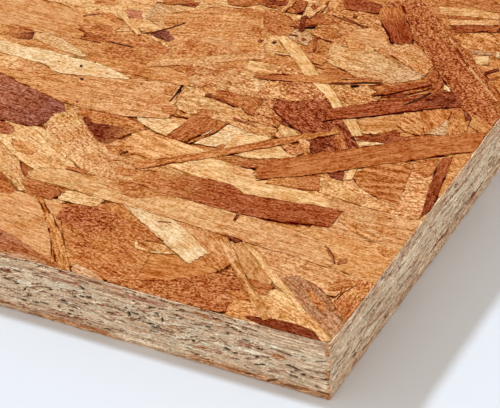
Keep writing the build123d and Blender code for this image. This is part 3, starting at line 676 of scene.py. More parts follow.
class Recipe:
    """Node tree of one material, with short calls that add nodes and join them."""

    def __init__(self, name: str) -> None:
        """Start a material that holds one Principled shader.

        Args:
            name: Name of the material.
        """
        self.material = bpy.data.materials.new(name)
        self.material.use_nodes = True
        self.tree = self.material.node_tree
        self.shader = self.tree.nodes["Principled BSDF"]

    def node(self, kind: str) -> bpy.types.Node:
        """Add one node of the given kind."""
        return self.tree.nodes.new(kind)

    def feed(self, source: object, target: bpy.types.NodeSocket) -> None:
        """Join a socket to the target, or set the target to a plain value.

        Args:
            source: Socket or plain value.
            target: Socket that takes it.
        """
        if isinstance(source, bpy.types.NodeSocket):
            self.tree.links.new(source, target)
        else:
            target.default_value = source

    def attribute(self, name: str) -> bpy.types.Node:
        """Read one of the mesh's own attributes."""
        node = self.node("ShaderNodeAttribute")
        node.attribute_name = name
        return node

    def split(self, source: bpy.types.NodeSocket) -> bpy.types.bpy_prop_collection:
        """Split a colour or a vector into its three values."""
        node = self.node("ShaderNodeSeparateColor" if source.type == "RGBA" else "ShaderNodeSeparateXYZ")
        self.feed(source, node.inputs[0])
        return node.outputs

    def on_vectors(self, operation: str, first: object, second: object) -> bpy.types.NodeSocket:
        """Add one Vector Math node and give its result.

        Args:
            operation: Name of the operation.
            first: First vector or value.
            second: Second vector or value.

        Returns:
            The result's socket.
        """
        node = self.node("ShaderNodeVectorMath")
        node.operation = operation
        self.feed(first, node.inputs[0])
        self.feed(second, node.inputs[1])
        return node.outputs[0]

    def noise(self, vector: object, cells: Cells, detail: float = 2.0,
              roughness: float = 0.5) -> bpy.types.NodeSocket:
        """Add smooth noise, stretched along each axis.

        Args:
            vector: Coordinates that the noise follows.
            cells: Cells for each unit of the coordinates, along each axis.
            detail: Number of finer octaves.
            roughness: Share that each finer octave keeps.

        Returns:
            The noise value, about 0.25 to 0.75.
        """
        node = self.node("ShaderNodeTexNoise")
        self.feed(self.on_vectors("MULTIPLY", vector, cells), node.inputs["Vector"])
        node.inputs["Scale"].default_value = 1.0
        node.inputs["Detail"].default_value = detail
        node.inputs["Roughness"].default_value = roughness
        return node.outputs["Fac"]

    def math(self, operation: str, first: object, second: object = 0.0,
             clamp: bool = False) -> bpy.types.NodeSocket:
        """Add one Math node and give its result.

        Args:
            operation: Name of the operation.
            first: First value.
            second: Second value.
            clamp: Whether the result stays within 0 and 1.

        Returns:
            The result's socket.
        """
        node = self.node("ShaderNodeMath")
        node.operation = operation
        node.use_clamp = clamp
        self.feed(first, node.inputs[0])
        self.feed(second, node.inputs[1])
        return node.outputs[0]

    def plus(self, first: object, second: object) -> bpy.types.NodeSocket:
        """Add two values."""
        return self.math("ADD", first, second)

    def minus(self, first: object, second: object, clamp: bool = False) -> bpy.types.NodeSocket:
        """Take the second value from the first."""
        return self.math("SUBTRACT", first, second, clamp)

    def times(self, first: object, second: object, clamp: bool = False) -> bpy.types.NodeSocket:
        """Multiply two values."""
        return self.math("MULTIPLY", first, second, clamp)

    def ranged(self, value: object, low: float, high: float, to_low: float = 0.0,
               to_high: float = 1.0) -> bpy.types.NodeSocket:
        """Map a value from one range to another with smooth, clamped ends.

        Args:
            value: Value to map.
            low: Start of its range.
            high: End of its range.
            to_low: Result at the start.
            to_high: Result at the end.

        Returns:
            The mapped value.
        """
        node = self.node("ShaderNodeMapRange")
        node.interpolation_type = "SMOOTHSTEP"
        self.feed(value, node.inputs["Value"])
        node.inputs["From Min"].default_value = low
        node.inputs["From Max"].default_value = high
        node.inputs["To Min"].default_value = to_low
        node.inputs["To Max"].default_value = to_high
        return node.outputs["Result"]

    def mixed(self, factor: object, first: object, second: object,
              blend: str = "MIX") -> bpy.types.NodeSocket:
        """Blend two colours by a factor.

        Args:
            factor: Share of the second colour.
            first: First colour.
            second: Second colour.
            blend: Name of the way they are blended.

        Returns:
            The blended colour.
        """
        node = self.node("ShaderNodeMix")
        node.data_type = "RGBA"
        node.blend_type = blend
        self.feed(factor, node.inputs["Factor"])
        for source, socket in ((first, node.inputs[6]), (second, node.inputs[7])):
            self.feed((*source, 1.0) if isinstance(source, tuple) else source, socket)
        return node.outputs[2]

    def bent(self, colour: object, power: float) -> bpy.types.NodeSocket:
        """Raise a colour to a power, which takes it from linear to screen values or back.

        Args:
            colour: Colour to change.
            power: Power for each channel.

        Returns:
            The changed colour.
        """
        node = self.node("ShaderNodeGamma")
        self.feed(colour, node.inputs["Color"])
        node.inputs["Gamma"].default_value = power
        return node.outputs["Color"]

    def shaded(self, colour: object, step: object) -> bpy.types.NodeSocket:
        """Make a screen colour darker or lighter by nearly the same step in all three channels.

        Args:
            colour: Screen colour to change.
            step: Step to add, where -1 is white to black.

        Returns:
            The changed screen colour, kept just above black.
        """
        moved = self.on_vectors("ADD", colour, self.on_vectors("MULTIPLY", step, CHANNEL_STEPS))
        return self.on_vectors("MAXIMUM", moved, DEEPEST_SHADE)

    def dressed(self, colour: object, roughness: float, specular: float = 0.5) -> None:
        """Give the shader its colour, its roughness and its shine.

        Args:
            colour: Base colour.
            roughness: Roughness from 0 to 1.
            specular: Strength of the shine.
        """
        self.feed(colour, self.shader.inputs["Base Color"])
        self.shader.inputs["Roughness"].default_value = roughness
        self.shader.inputs["Specular IOR Level"].default_value = specular

    def bump(self, height: object, strength: float, distance: float) -> None:
        """Give the shader a bump from a height value, with its depth in metres.

        Args:
            height: Height value.
            strength: Strength of the bump.
            distance: Depth of the bump in metres.
        """
        node = self.node("ShaderNodeBump")
        node.inputs["Strength"].default_value = strength
        node.inputs["Distance"].default_value = distance
        self.feed(height, node.inputs["Height"])
        self.tree.links.new(node.outputs["Normal"], self.shader.inputs["Normal"])


@dataclass(frozen=True)
class StrandFinish:
    """Pressed face strands: fibres along the grain, rusty speckle, growth rings, pores, dark rims of
    painted shade.

    The cells of each noise are cells for each millimetre along and across the grain. The third
    number only moves the noise from strand to strand.
    """

    dark_fibre: float = 0.25
    pale_fibre: float = 0.18
    edge_shade_width: float = 0.8
    edge_shade_strength: float = 0.5
    mark_depth: float = 0.3
    ring_depth: float = 0.035
    ring_pitch: float = 2.1
    ring_wander: float = 26.0
    scuff_share: float = 0.42
    streak_cells: Cells = (0.05, 0.75, 1.0)
    fibre_cells: Cells = (0.30, 2.4, 1.7)
    grit_cells: Cells = (1.2, 1.5, 2.3)
    wander_cells: Cells = (0.045, 0.12, 1.0)
    wash_cells: Cells = (170.0, 170.0, 170.0)
    patch_cells: Cells = (0.10, 0.16, 3.1)
    mottle_cells: Cells = (0.9, 1.5, 4.3)
    scuff_cells: Cells = (1.7, 2.1, 8.3)
    pore_cells: Cells = (0.42, 2.4, 5.9)
    speck_cells: Cells = (1.1, 1.3, 7.7)
    shade_break_cells: Cells = (0.09, 0.25, 6.1)
    wash_colour: Colour = (0.94, 0.86, 0.77)
    mottle_colour: Colour = (0.66, 0.34, 0.18)
    scuff_colour: Colour = (0.88, 0.60, 0.36)
    roughness: float = 0.55
    specular: float = 0.02
    bump_depth: float = 0.00004

    def material(self) -> bpy.types.Material:
        """Build the material from the attributes tone, grain, reach and trait.

        Returns:
            The finish of the face strands.
        """
        recipe = Recipe("pressed_strands")
        plus, minus, times, ranged = recipe.plus, recipe.minus, recipe.times, recipe.ranged
        tone = recipe.attribute("tone")
        grain = recipe.attribute("grain").outputs["Vector"]
        reach = recipe.attribute("reach")
        place = recipe.node("ShaderNodeTexCoord").outputs["Object"]
        aside, half_width, along = recipe.split(reach.outputs["Color"])
        ringed, rimmed, peppery = recipe.split(recipe.attribute("trait").outputs["Color"])

        # Fibre streaks and the coarse grit of crushed fibre
        streak = recipe.noise(grain, self.streak_cells, 3.0, 0.6)
        fibre = recipe.noise(grain, self.fibre_cells, 2.0, 0.6)
        grit = recipe.noise(grain, self.grit_cells, 3.0, 0.8)
        lines = plus(times(streak, 0.30), times(fibre, 0.70))
        share = plus(0.45, times(peppery, 0.4))
        shade = plus(times(grit, share), times(lines, minus(1.0, share)))

        # Growth rings: bands across the strand that wander along it
        wander = recipe.noise(grain, self.wander_cells, 1.0)
        phase = plus(times(recipe.split(grain)[1], self.ring_pitch), times(wander, self.ring_wander))
        rings = times(recipe.math("SINE", phase), ringed)
        shade = plus(shade, times(rings, self.ring_depth))

        # Orange wash in patches, over all strands alike
        colour = recipe.bent(tone.outputs["Color"], 1 / SCREEN_POWER)
        wash = recipe.noise(place, self.wash_cells, 3.0, 0.6)
        washed = recipe.mixed(1.0, colour, self.wash_colour, "MULTIPLY")
        colour = recipe.mixed(ranged(wash, 0.42, 0.66), colour, washed)

        # Reddish mottling, which some strands have much more of than others
        patches = recipe.noise(grain, self.patch_cells, 2.0)
        grains = recipe.noise(grain, self.mottle_cells, 2.0, 0.7)
        mottle = times(ranged(patches, 0.38, 0.60), ranged(grains, 0.42, 0.58))
        mottle = times(mottle, tone.outputs["Alpha"], clamp=True)
        colour = recipe.mixed(mottle, colour, self.mottle_colour)

        # Pale scuffed grains, which show most on the dark strands
        scuffs = recipe.noise(grain, self.scuff_cells, 2.0, 0.7)
        colour = recipe.mixed(ranged(scuffs, 0.55, 0.72, 0.0, self.scuff_share), colour, self.scuff_colour)

        # Light and dark of the fibres, stronger on peppery strands
        step = plus(ranged(shade, 0.40, 0.52, -self.dark_fibre, 0.0),
                    ranged(shade, 0.48, 0.62, 0.0, self.pale_fibre))
        step = times(step, plus(0.6, times(peppery, 0.8)))

        # Short dark pores along the grain, and a few round specks
        pores = ranged(recipe.noise(grain, self.pore_cells, 1.0), 0.64, 0.74)
        specks = ranged(recipe.noise(grain, self.speck_cells, 1.0), 0.66, 0.76)
        marks = recipe.math("MAXIMUM", times(pores, 0.8), times(specks, peppery))
        colour = recipe.shaded(colour, minus(step, times(marks, self.mark_depth)))

        # Painted shade: a dark rim where the strand's edge dips below its neighbours, broken up along its
        # run
        side = minus(half_width, recipe.math("ABSOLUTE", aside))
        end = minus(reach.outputs["Alpha"], recipe.math("ABSOLUTE", along))
        gap = recipe.math("MINIMUM", side, end)
        broken = recipe.noise(grain, self.shade_break_cells, 3.0, 0.7)
        shade_width = times(ranged(broken, 0.50, 0.62), self.edge_shade_width)
        rim = minus(1.0, recipe.math("DIVIDE", gap, plus(shade_width, 0.06)), clamp=True)
        rim = times(times(rim, rimmed), self.edge_shade_strength)
        colour = recipe.shaded(colour, times(rim, -1.0))

        recipe.dressed(recipe.bent(colour, SCREEN_POWER), self.roughness, self.specular)
        recipe.bump(minus(shade, times(marks, 0.4)), 1.0, self.bump_depth)
        return recipe.material


@dataclass(frozen=True)
class SawnFinish:
    """Sawn edge: pale cut wood with fine streaks along the courses, end-grain dots and dark pits."""

    dark_streak: float = 0.33
    pale_streak: float = 0.2
    pore_depth: float = 0.32
    streak_cells: Cells = (0.16, 2.2, 1.0)
    fine_cells: Cells = (0.9, 4.5, 1.3)
    dot_cells: Cells = (2.4, 3.0, 2.1)
    pore_cells: Cells = (0.8, 2.6, 5.1)
    roughness: float = 0.85
    specular: float = 0.0
    bump_depth: float = 0.0003

    def material(self) -> bpy.types.Material:
        """Build the material from the attributes tone and grain.

        Returns:
            The finish of the sawn edges.
        """
        recipe = Recipe("sawn_edge")
        plus, minus, times, ranged = recipe.plus, recipe.minus, recipe.times, recipe.ranged
        tone = recipe.attribute("tone")
        grain = recipe.attribute("grain").outputs["Vector"]
        streak = recipe.noise(grain, self.streak_cells, 3.0, 0.65)
        fine = recipe.noise(grain, self.fine_cells, 2.0, 0.65)
        dots = recipe.noise(grain, self.dot_cells, 1.0)
        shade = plus(plus(times(streak, 0.45), times(fine, 0.35)), times(dots, 0.2))
        step = plus(ranged(shade, 0.38, 0.52, -self.dark_streak, 0.0),
                    ranged(shade, 0.48, 0.62, 0.0, self.pale_streak))
        pores = ranged(recipe.noise(grain, self.pore_cells, 1.0), 0.66, 0.74)
        colour = recipe.bent(tone.outputs["Color"], 1 / SCREEN_POWER)
        colour = recipe.shaded(colour, minus(step, times(pores, self.pore_depth)))
        recipe.dressed(recipe.bent(colour, SCREEN_POWER), self.roughness, self.specular)
        recipe.bump(minus(shade, times(pores, 0.3)), 0.8, self.bump_depth)
        return recipe.material


@dataclass(frozen=True)
class CoreFinish:
    """Inner wood that shows only at the bottom of gaps between strands, painted dark brown as the shade in
    those gaps.
    """

    dark: Colour = linear(104, 56, 32)
    light: Colour = linear(150, 92, 56)
    patch_cells: Cells = (400.0, 400.0, 400.0)
    roughness: float = 0.9

    def material(self) -> bpy.types.Material:
        """Build a brown, slightly uneven material.

        Returns:
            The finish of the inner slab.
        """
        recipe = Recipe("shaded_core")
        place = recipe.node("ShaderNodeTexCoord").outputs["Object"]
        patches = recipe.noise(place, self.patch_cells, 2.0)
        recipe.dressed(recipe.mixed(patches, self.dark, self.light), self.roughness)
        return recipe.material


def slab_faces(stations: int, columns: int) -> np.ndarray:
    """Join a top grid and a bottom grid of points into a closed slab.

    Top points come first, row by row, then the bottom points in the same order. Seen from above,
    stations run to the right and columns away, so every face looks outwards.

    Args:
        stations: Points along the slab.
        columns: Points across it.

    Returns:
        Four point numbers for each face.
    """
    top = np.arange(stations * columns).reshape(stations, columns)
    low = top + stations * columns
    upper = np.stack([top[:-1, :-1], top[1:, :-1], top[1:, 1:], top[:-1, 1:]], -1).reshape(-1, 4)
    under = np.stack([low[:-1, :-1], low[:-1, 1:], low[1:, 1:], low[1:, :-1]], -1).reshape(-1, 4)
    rim = np.concatenate([top[:-1, 0], top[-1, :-1], top[:0:-1, -1], top[0, :0:-1]])
    ahead = np.roll(rim, -1)
    drop = stations * columns
    walls = np.stack([rim + drop, ahead + drop, ahead, rim], -1)
    return np.concatenate([upper, under, walls])


class MeshStore:
    """Gathers closed shapes with their finish numbers and writes them as one mesh."""

    def __init__(self) -> None:
        """Start with no shapes."""
        self.points: list[np.ndarray] = []
        self.faces: list[np.ndarray] = []
        self.numbers: dict[str, list[np.ndarray]] = {"tone": [], "grain": [], "reach": [], "trait": []}
        self.count = 0

    def add(self, points: np.ndarray, faces: list[np.ndarray], **numbers: np.ndarray) -> None:
        """Add one shape, or many at once.

        Args:
            points: Places in millimetres, one row a point.
            faces: Arrays of point numbers, one row a face, counted from this shape's first point.
            **numbers: One array a finish attribute, one row a point.
        """
        self.points.append(points)
        self.faces += [block + self.count for block in faces]
        for name, values in numbers.items():
            self.numbers[name].append(values)
        self.count += len(points)

    def write(self, name: str, material: bpy.types.Material, smooth: bool = False) -> bpy.types.Object:
        """Make the mesh and its object, in metres, and dress it.

        Args:
            name: Name of the object and its mesh.
            material: Finish for all its faces.
            smooth: Whether the faces are shaded smooth.

        Returns:
            The new object, riding on the sheet's body.
        """
        points = np.concatenate(self.points) * MILLIMETRE
        corners = np.concatenate([block.ravel() for block in self.faces])
        sides = np.concatenate([np.full(len(block), block.shape[1]) for block in self.faces])
        mesh = bpy.data.meshes.new(name)
        mesh.vertices.add(len(points))
        mesh.vertices.foreach_set("co", points.astype(np.float32).ravel())
        mesh.loops.add(len(corners))
        mesh.loops.foreach_set("vertex_index", corners.astype(np.int32))
        mesh.polygons.add(len(sides))
        mesh.polygons.foreach_set("loop_start", (np.cumsum(sides) - sides).astype(np.int32))
        mesh.polygons.foreach_set("use_smooth", np.full(len(sides), smooth))
        mesh.update(calc_edges=True)
        kinds = {"tone": ("FLOAT_COLOR", "color"), "grain": ("FLOAT_VECTOR", "vector"),
                 "reach": ("FLOAT_COLOR", "color"), "trait": ("FLOAT_COLOR", "color")}
        for key, values in self.numbers.items():
            if values:
                kind, item = kinds[key]
                layer = mesh.attributes.new(key, kind, "POINT")
                layer.data.foreach_set(item, np.concatenate(values).astype(np.float32).ravel())
        mesh.materials.append(material)
        piece = bpy.data.objects.new(name, mesh)
        bpy.context.scene.collection.objects.link(piece)
        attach(piece, BODY)
        triangles = int((sides - 2).sum())
        log.info("%s: %d points, %d triangles", name, len(points), triangles)
        return piece


class HeightMap:
    """Height of the pile of strands over a rectangle of the face, in square cells."""

    def __init__(self, low: Point, high: Point, cell: float) -> None:
        """Start with a flat bed.

        Args:
            low: Corner with the smallest x and y.
            high: Corner with the largest x and y.
            cell: Side of one cell.
        """
        self.low = np.array(low)
        self.cell = cell
        columns, rows = (np.ceil((np.array(high) - self.low) / cell)).astype(int)
        self.height = np.zeros((rows, columns))

    def cells(self, places: np.ndarray) -> tuple[np.ndarray, np.ndarray]:
        """Give the row and column of the cell that holds each place.

        Args:
            places: Places on the face.

        Returns:
            Rows and columns.
        """
        index = np.floor((places - self.low) / self.cell).astype(int)
        rows = index[..., 1].clip(0, self.height.shape[0] - 1)
        columns = index[..., 0].clip(0, self.height.shape[1] - 1)
        return rows, columns

    def highest_near(self, places: np.ndarray, reach: float) -> np.ndarray:
        """Give the highest cell within reach of each place.

        Args:
            places: Places on the face.
            reach: How far to look to each side.

        Returns:
            One height for each place.
        """
        rows, columns = self.cells(places)
        steps = int(math.ceil(reach / self.cell))
        offsets = np.arange(-steps, steps + 1)
        near_rows = (rows[..., None, None] + offsets[:, None]).clip(0, self.height.shape[0] - 1)
        near_columns = (columns[..., None, None] + offsets[None, :]).clip(0, self.height.shape[1] - 1)
        return self.height[near_rows, near_columns].max(axis=(-1, -2))

    def stamp(self, places: np.ndarray, heights: np.ndarray) -> None:
        """Write heights into the cells that hold the places."""
        rows, columns = self.cells(places)
        self.height[rows, columns] = heights

    def level(self, reach: float) -> "HeightMap":
        """Give the mean height over a square round each cell, twice over for a smooth result.

        Args:
            reach: Half of the square's side.

        Returns:
            A map of the mean heights.
        """
        steps = int(round(reach / self.cell))
        blurred = self.height
        for _ in range(2):
            for axis in (0, 1):
                pad = [(steps, steps) if a == axis else (0, 0) for a in (0, 1)]
                total = np.cumsum(np.pad(blurred, pad, mode="edge"), axis=axis)
                total = np.insert(total, 0, 0.0, axis=axis)
                size = blurred.shape[axis]
                last = np.take(total, np.arange(size) + 2 * steps + 1, axis=axis)
                first = np.take(total, np.arange(size), axis=axis)
                blurred = (last - first) / (2 * steps + 1)
        smooth = HeightMap(tuple(self.low), tuple(self.low + self.cell), self.cell)
        smooth.height = blurred
        return smooth

    def between(self, places: np.ndarray) -> np.ndarray:
        """Give heights at places, blended between the centres of the four nearest cells.

        Args:
            places: Places on the face.

        Returns:
            One height for each place.
        """
        index = (places - self.low) / self.cell - 0.5
        column = index[..., 0].clip(0, self.height.shape[1] - 1.001)
        row = index[..., 1].clip(0, self.height.shape[0] - 1.001)
        left, near = column.astype(int), row.astype(int)
        across, away = column - left, row - near
        nearer = self.height[near, left] * (1 - across) + self.height[near, left + 1] * across
        farther = self.height[near + 1, left] * (1 - across) + self.height[near + 1, left + 1] * across
        return nearer * (1 - away) + farther * away


def along_line(line: np.ndarray, share: np.ndarray) -> np.ndarray:
    """Walk a side line at even speed and round its corners a little.

    The corners are rounded by averaging three nearby places.

    Args:
        line: Corners of the line, one row a point.
        share: How far along the line each place lies, from 0 to 1.

    Returns:
        The places on the line.
    """
    steps = np.linalg.norm(np.diff(line, axis=0), axis=1)
    mark = np.concatenate([[0.0], np.cumsum(steps)]) / steps.sum()
    ease = 0.03
    total = np.zeros((*share.shape, 2))
    for offset, weight in ((-ease, 0.25), (0.0, 0.5), (ease, 0.25)):
        shift = offset * np.minimum(1.0, np.minimum(share, 1 - share) / ease)
        at = share + shift
        total += weight * np.stack([np.interp(at, mark, line[:, 0]), np.interp(at, mark, line[:, 1])], -1)
    return total


@dataclass
class NearCorner:
    """The listed strands of the corner that the camera sees, pressed into one mat."""

    board: Board
    size: Point = (190.0, 200.0)
    cell: float = 0.4
    reach: float = 1.2
    margin: float = 0.28
    slab: float = 0.7
    station_step: float = 1.5
    column_step: float = 0.9
    fineness: float = 1.5
    waver: Point = (0.14, 0.10)
    press_reach: float = 9.0
    squeeze: float = 0.45
    softness: float = 0.08
    skin: float = 0.06
    sink: float = 0.28
    relief: float = 0.85
    rim_drop: float = 0.03
    wall_edge_shade: float = 0.3
    tone_spread: float = 0.035
    rng: np.random.Generator = field(default_factory=lambda: np.random.default_rng(11))

    def patch(self, strand: Strand) -> tuple[np.ndarray, np.ndarray]:
        """Work out the strand's outline grid.

        The surface is ruled: P(s, t) = (1 - t) * left(s) + t * right(s). Each column starts and
        ends a random bit late, which frays the ends, and the two sides waver by a random bit.

        Args:
            strand: The strand to lay.

        Returns:
            Places by station and column, and the place across of each column from -1 to 1.
        """
        left, right = strand.sides()
        length = np.linalg.norm(left[-1] + right[-1] - left[0] - right[0]) / 2
        length = max(length, np.linalg.norm(np.diff(left, axis=0), axis=1).sum(), 1.0)
        middle = np.linalg.norm(left[len(left) // 2] - right[len(right) // 2])
        width = max(np.linalg.norm(left[0] - right[0]), np.linalg.norm(left[-1] - right[-1]), middle, 0.4)
        stations = int(np.clip(length / self.station_step, 6, 60))
        columns = int(np.clip(width / self.column_step, 4, 17))

        # A narrow strip along each side and each end takes the dark rim
        rim = min(0.35 / width, 0.2)
        rise = min(0.3 / length, 0.08)
        t = np.concatenate([[0.0], np.linspace(rim, 1 - rim, columns - 2), [1.0]])
        s = np.concatenate([[0.0], np.linspace(rise, 1 - rise, stations - 2), [1.0]])

        fray = np.minimum(strand.fray, length * 0.12) / length
        start = fray * self.rng.random(columns) ** 1.5
        end = 1 - fray * self.rng.random(columns) ** 1.5
        share = start + s[:, None] * (end - start)
        left, right = along_line(left, share), along_line(right, share)
        places = left * (1 - t[:, None]) + right * t[:, None]
        across = right - left
        across /= np.maximum(np.linalg.norm(across, axis=-1, keepdims=True), 1e-6)
        phase = self.rng.uniform(0, 6.28, (2, 2))
        run = s[:, None] * length
        bend = np.sin(run / 1.9 + phase[0]) + 0.7 * np.sin(run / 0.83 + phase[1])
        waver = bend * self.waver[0] + self.rng.normal(0, self.waver[1], (stations, 2))
        waver = waver * min(1.0, width / 5)
        places[:, 0] += across[:, 0] * waver[:, :1]
        places[:, -1] += across[:, -1] * waver[:, 1:]
        return places, t * 2 - 1

    def lay(self, pile: HeightMap, places: np.ndarray, lift: float) -> np.ndarray:
        """Lay a strand on what is under it and write its height into the pile.

        Its height is the highest cell near each of its points, smoothed along the strand, plus
        its lift.

        Args:
            pile: Height of the strands laid before, changed in place.
            places: Places of the strand's points.
            lift: How far the strand lies above the ones under it.

        Returns:
            Height of each point.
        """
        height = pile.highest_near(places, self.reach)
        eased = height.copy()
        for _ in range(2):
            padded = np.pad(eased, 1, mode="edge")
            eased = (padded[:-2, 1:-1] + padded[2:, 1:-1] + padded[1:-1, :-2] + padded[1:-1, 2:]
                     + 2 * padded[1:-1, 1:-1]) / 6
            eased = np.maximum(eased, height)
        height = eased + lift
        rows, columns = height.shape
        fine_rows = int(rows * self.station_step / self.cell * self.fineness) + 2
        fine_columns = int(columns * self.column_step / self.cell * self.fineness) + 2
        fine_s = np.linspace(0, rows - 1, fine_rows)
        fine_t = np.linspace(0, columns - 1, fine_columns)
        i = np.minimum(fine_s.astype(int), rows - 2)
        j = np.minimum(fine_t.astype(int), columns - 2)
        u, v = (fine_s - i)[:, None], (fine_t - j)[None, :]
        stack = np.concatenate([places, height[..., None]], -1)
        shares = {(0, 0): (1 - u) * (1 - v), (1, 0): u * (1 - v), (0, 1): (1 - u) * v, (1, 1): u * v}
        fine = sum(share[..., None] * stack[i[:, None] + a, j[None, :] + b]
                   for (a, b), share in shares.items())
        pile.stamp(fine[..., :2], fine[..., 2])
        return height

    def build(self, material: bpy.types.Material) -> tuple[HeightMap, HeightMap]:
        """Lay all strands in order, press them level and write the mesh.

        The press takes the local mean height away and squeezes what stands above it, which keeps
        every strand over the ones that it covers.

        Args:
            material: Finish of the strands.

        Returns:
            The pile, which tells the other strands where these lie, and the pressed surface.
        """
        pile = HeightMap((-self.size[0], 0.0), (0.0, self.size[1]), self.cell)
        laid = []
        for strand in near_corner_strands():
            places, across = self.patch(strand)
            places[..., 0] = np.minimum(places[..., 0], -self.margin)
            places[..., 1] = np.maximum(places[..., 1], self.margin)
            laid.append((strand, places, self.lay(pile, places, strand.lift), across))
        mean = pile.level(self.press_reach)
        store = MeshStore()
        for strand, places, height, across in laid:
            self.add_slab(store, strand, places, self.pressed(height, mean.between(places)), across)
        store.write("near_corner_strands", material)
        surface = HeightMap(tuple(pile.low), (0.0, self.size[1]), self.cell)
        surface.height = self.pressed(pile.height, mean.height)
        return pile, surface

    def pressed(self, height: np.ndarray, mean: np.ndarray) -> np.ndarray:
        """Press a height flat: above the mean it keeps under half, below the mean it keeps all.

        Args:
            height: Heights in the loose pile.
            mean: Mean height of the pile round each of them.

        Returns:
            Heights above the underside of the sheet.
        """
        over = height - mean
        below = (1 - self.squeeze) * self.softness * np.log1p(np.exp(-over / self.softness))
        bent = self.squeeze * over - below
        top = self.board.thickness - self.skin
        return np.clip(top - self.sink + bent, top - self.relief, top)

    def add_slab(self, store: MeshStore, strand: Strand, places: np.ndarray, height: np.ndarray,
                 across: np.ndarray) -> None:
        """Add one strand as a closed slab with its rim a little lowered.

        Args:
            store: Mesh that takes the slab.
            strand: Colours and traits.
            places: Places of the grid's points.
            height: Height of the top at each point.
            across: Place across of each column, from -1 to 1.
        """
        stations, columns = height.shape
        left, right = strand.sides()
        axis = (left[-1] + right[-1] - left[0] - right[0]) / 2
        axis = axis / np.linalg.norm(axis)
        normal = np.array([-axis[1], axis[0]])
        middle = places.mean(axis=(0, 1))
        along = (places - middle) @ axis
        aside = (places - middle) @ normal
        half_width = np.linalg.norm(places[:, -1] - places[:, 0], axis=-1)[:, None] / 2
        share = np.linspace(-1, 1, stations)[:, None]
        half_length = max(np.ptp(along) / 2, 0.5)
        rim = np.zeros_like(height)
        rim[[0, -1], :] = 1
        rim[:, [0, -1]] = 1
        top = height - self.rim_drop * rim
        world = places + self.board.near_corner()
        points = np.concatenate([np.concatenate([world, z[..., None]], -1).reshape(-1, 3)
                                 for z in (top, top - self.slab)])

        # The colour fades along the strand, and every strand is a little lighter or darker
        first = np.array(strand.tone.value)
        last = np.array((strand.fades_to or strand.tone).value)
        blend = (along / half_length + 1) / 2
        blend = ((blend - strand.fade_over[0]) / np.ptp(strand.fade_over)).clip(0, 1)[..., None]
        blend = blend * blend * (3 - 2 * blend)
        vary = 1 + self.rng.normal(0, self.tone_spread)
        tone = np.concatenate([(first + (last - first) * blend) * vary,
                               np.full((stations, columns, 1), strand.blotch)], -1)
        seed = self.rng.random(3) * NOISE_SPREAD
        grain = np.stack([along + seed[0], aside + seed[1], np.full_like(along, seed[2])], -1)
        reach = np.stack([across * half_width, half_width + 0 * across, share * half_length + 0 * across,
                          np.full_like(height, half_length)], -1)
        # Traits: rings, strength of the painted edge shade, and pepper; walls and undersides take less of
        # the painted shade
        trait = np.zeros((stations, columns, 4))
        trait[..., :3] = strand.rings, strand.rim, strand.pepper
        under_trait = trait * (1.0, self.wall_edge_shade, 1.0, 1.0)

        # A strand whose side lines were given the other way round is turned to face upwards
        faces = slab_faces(stations, columns)
        edge = places[[0, -1, -1, 0], [0, 0, -1, -1]]
        turn = np.cross(edge - edge[0], np.roll(edge, -1, 0) - edge[0]).sum()
        if turn < 0:
            faces = faces[:, ::-1]
        layers = {"tone": (tone, tone), "grain": (grain, grain), "reach": (reach, reach),
                  "trait": (trait, under_trait)}
        numbers = {key: np.concatenate(pair).reshape(-1, pair[0].shape[-1]) for key, pair in layers.items()}
        store.add(points, [faces], **numbers)


@dataclass(frozen=True)
class Layer:
    """Sizes of one layer of scattered strands, in millimetres, and the spread of their angles."""

    spacing: Point
    length: float
    width: float
    spread: float


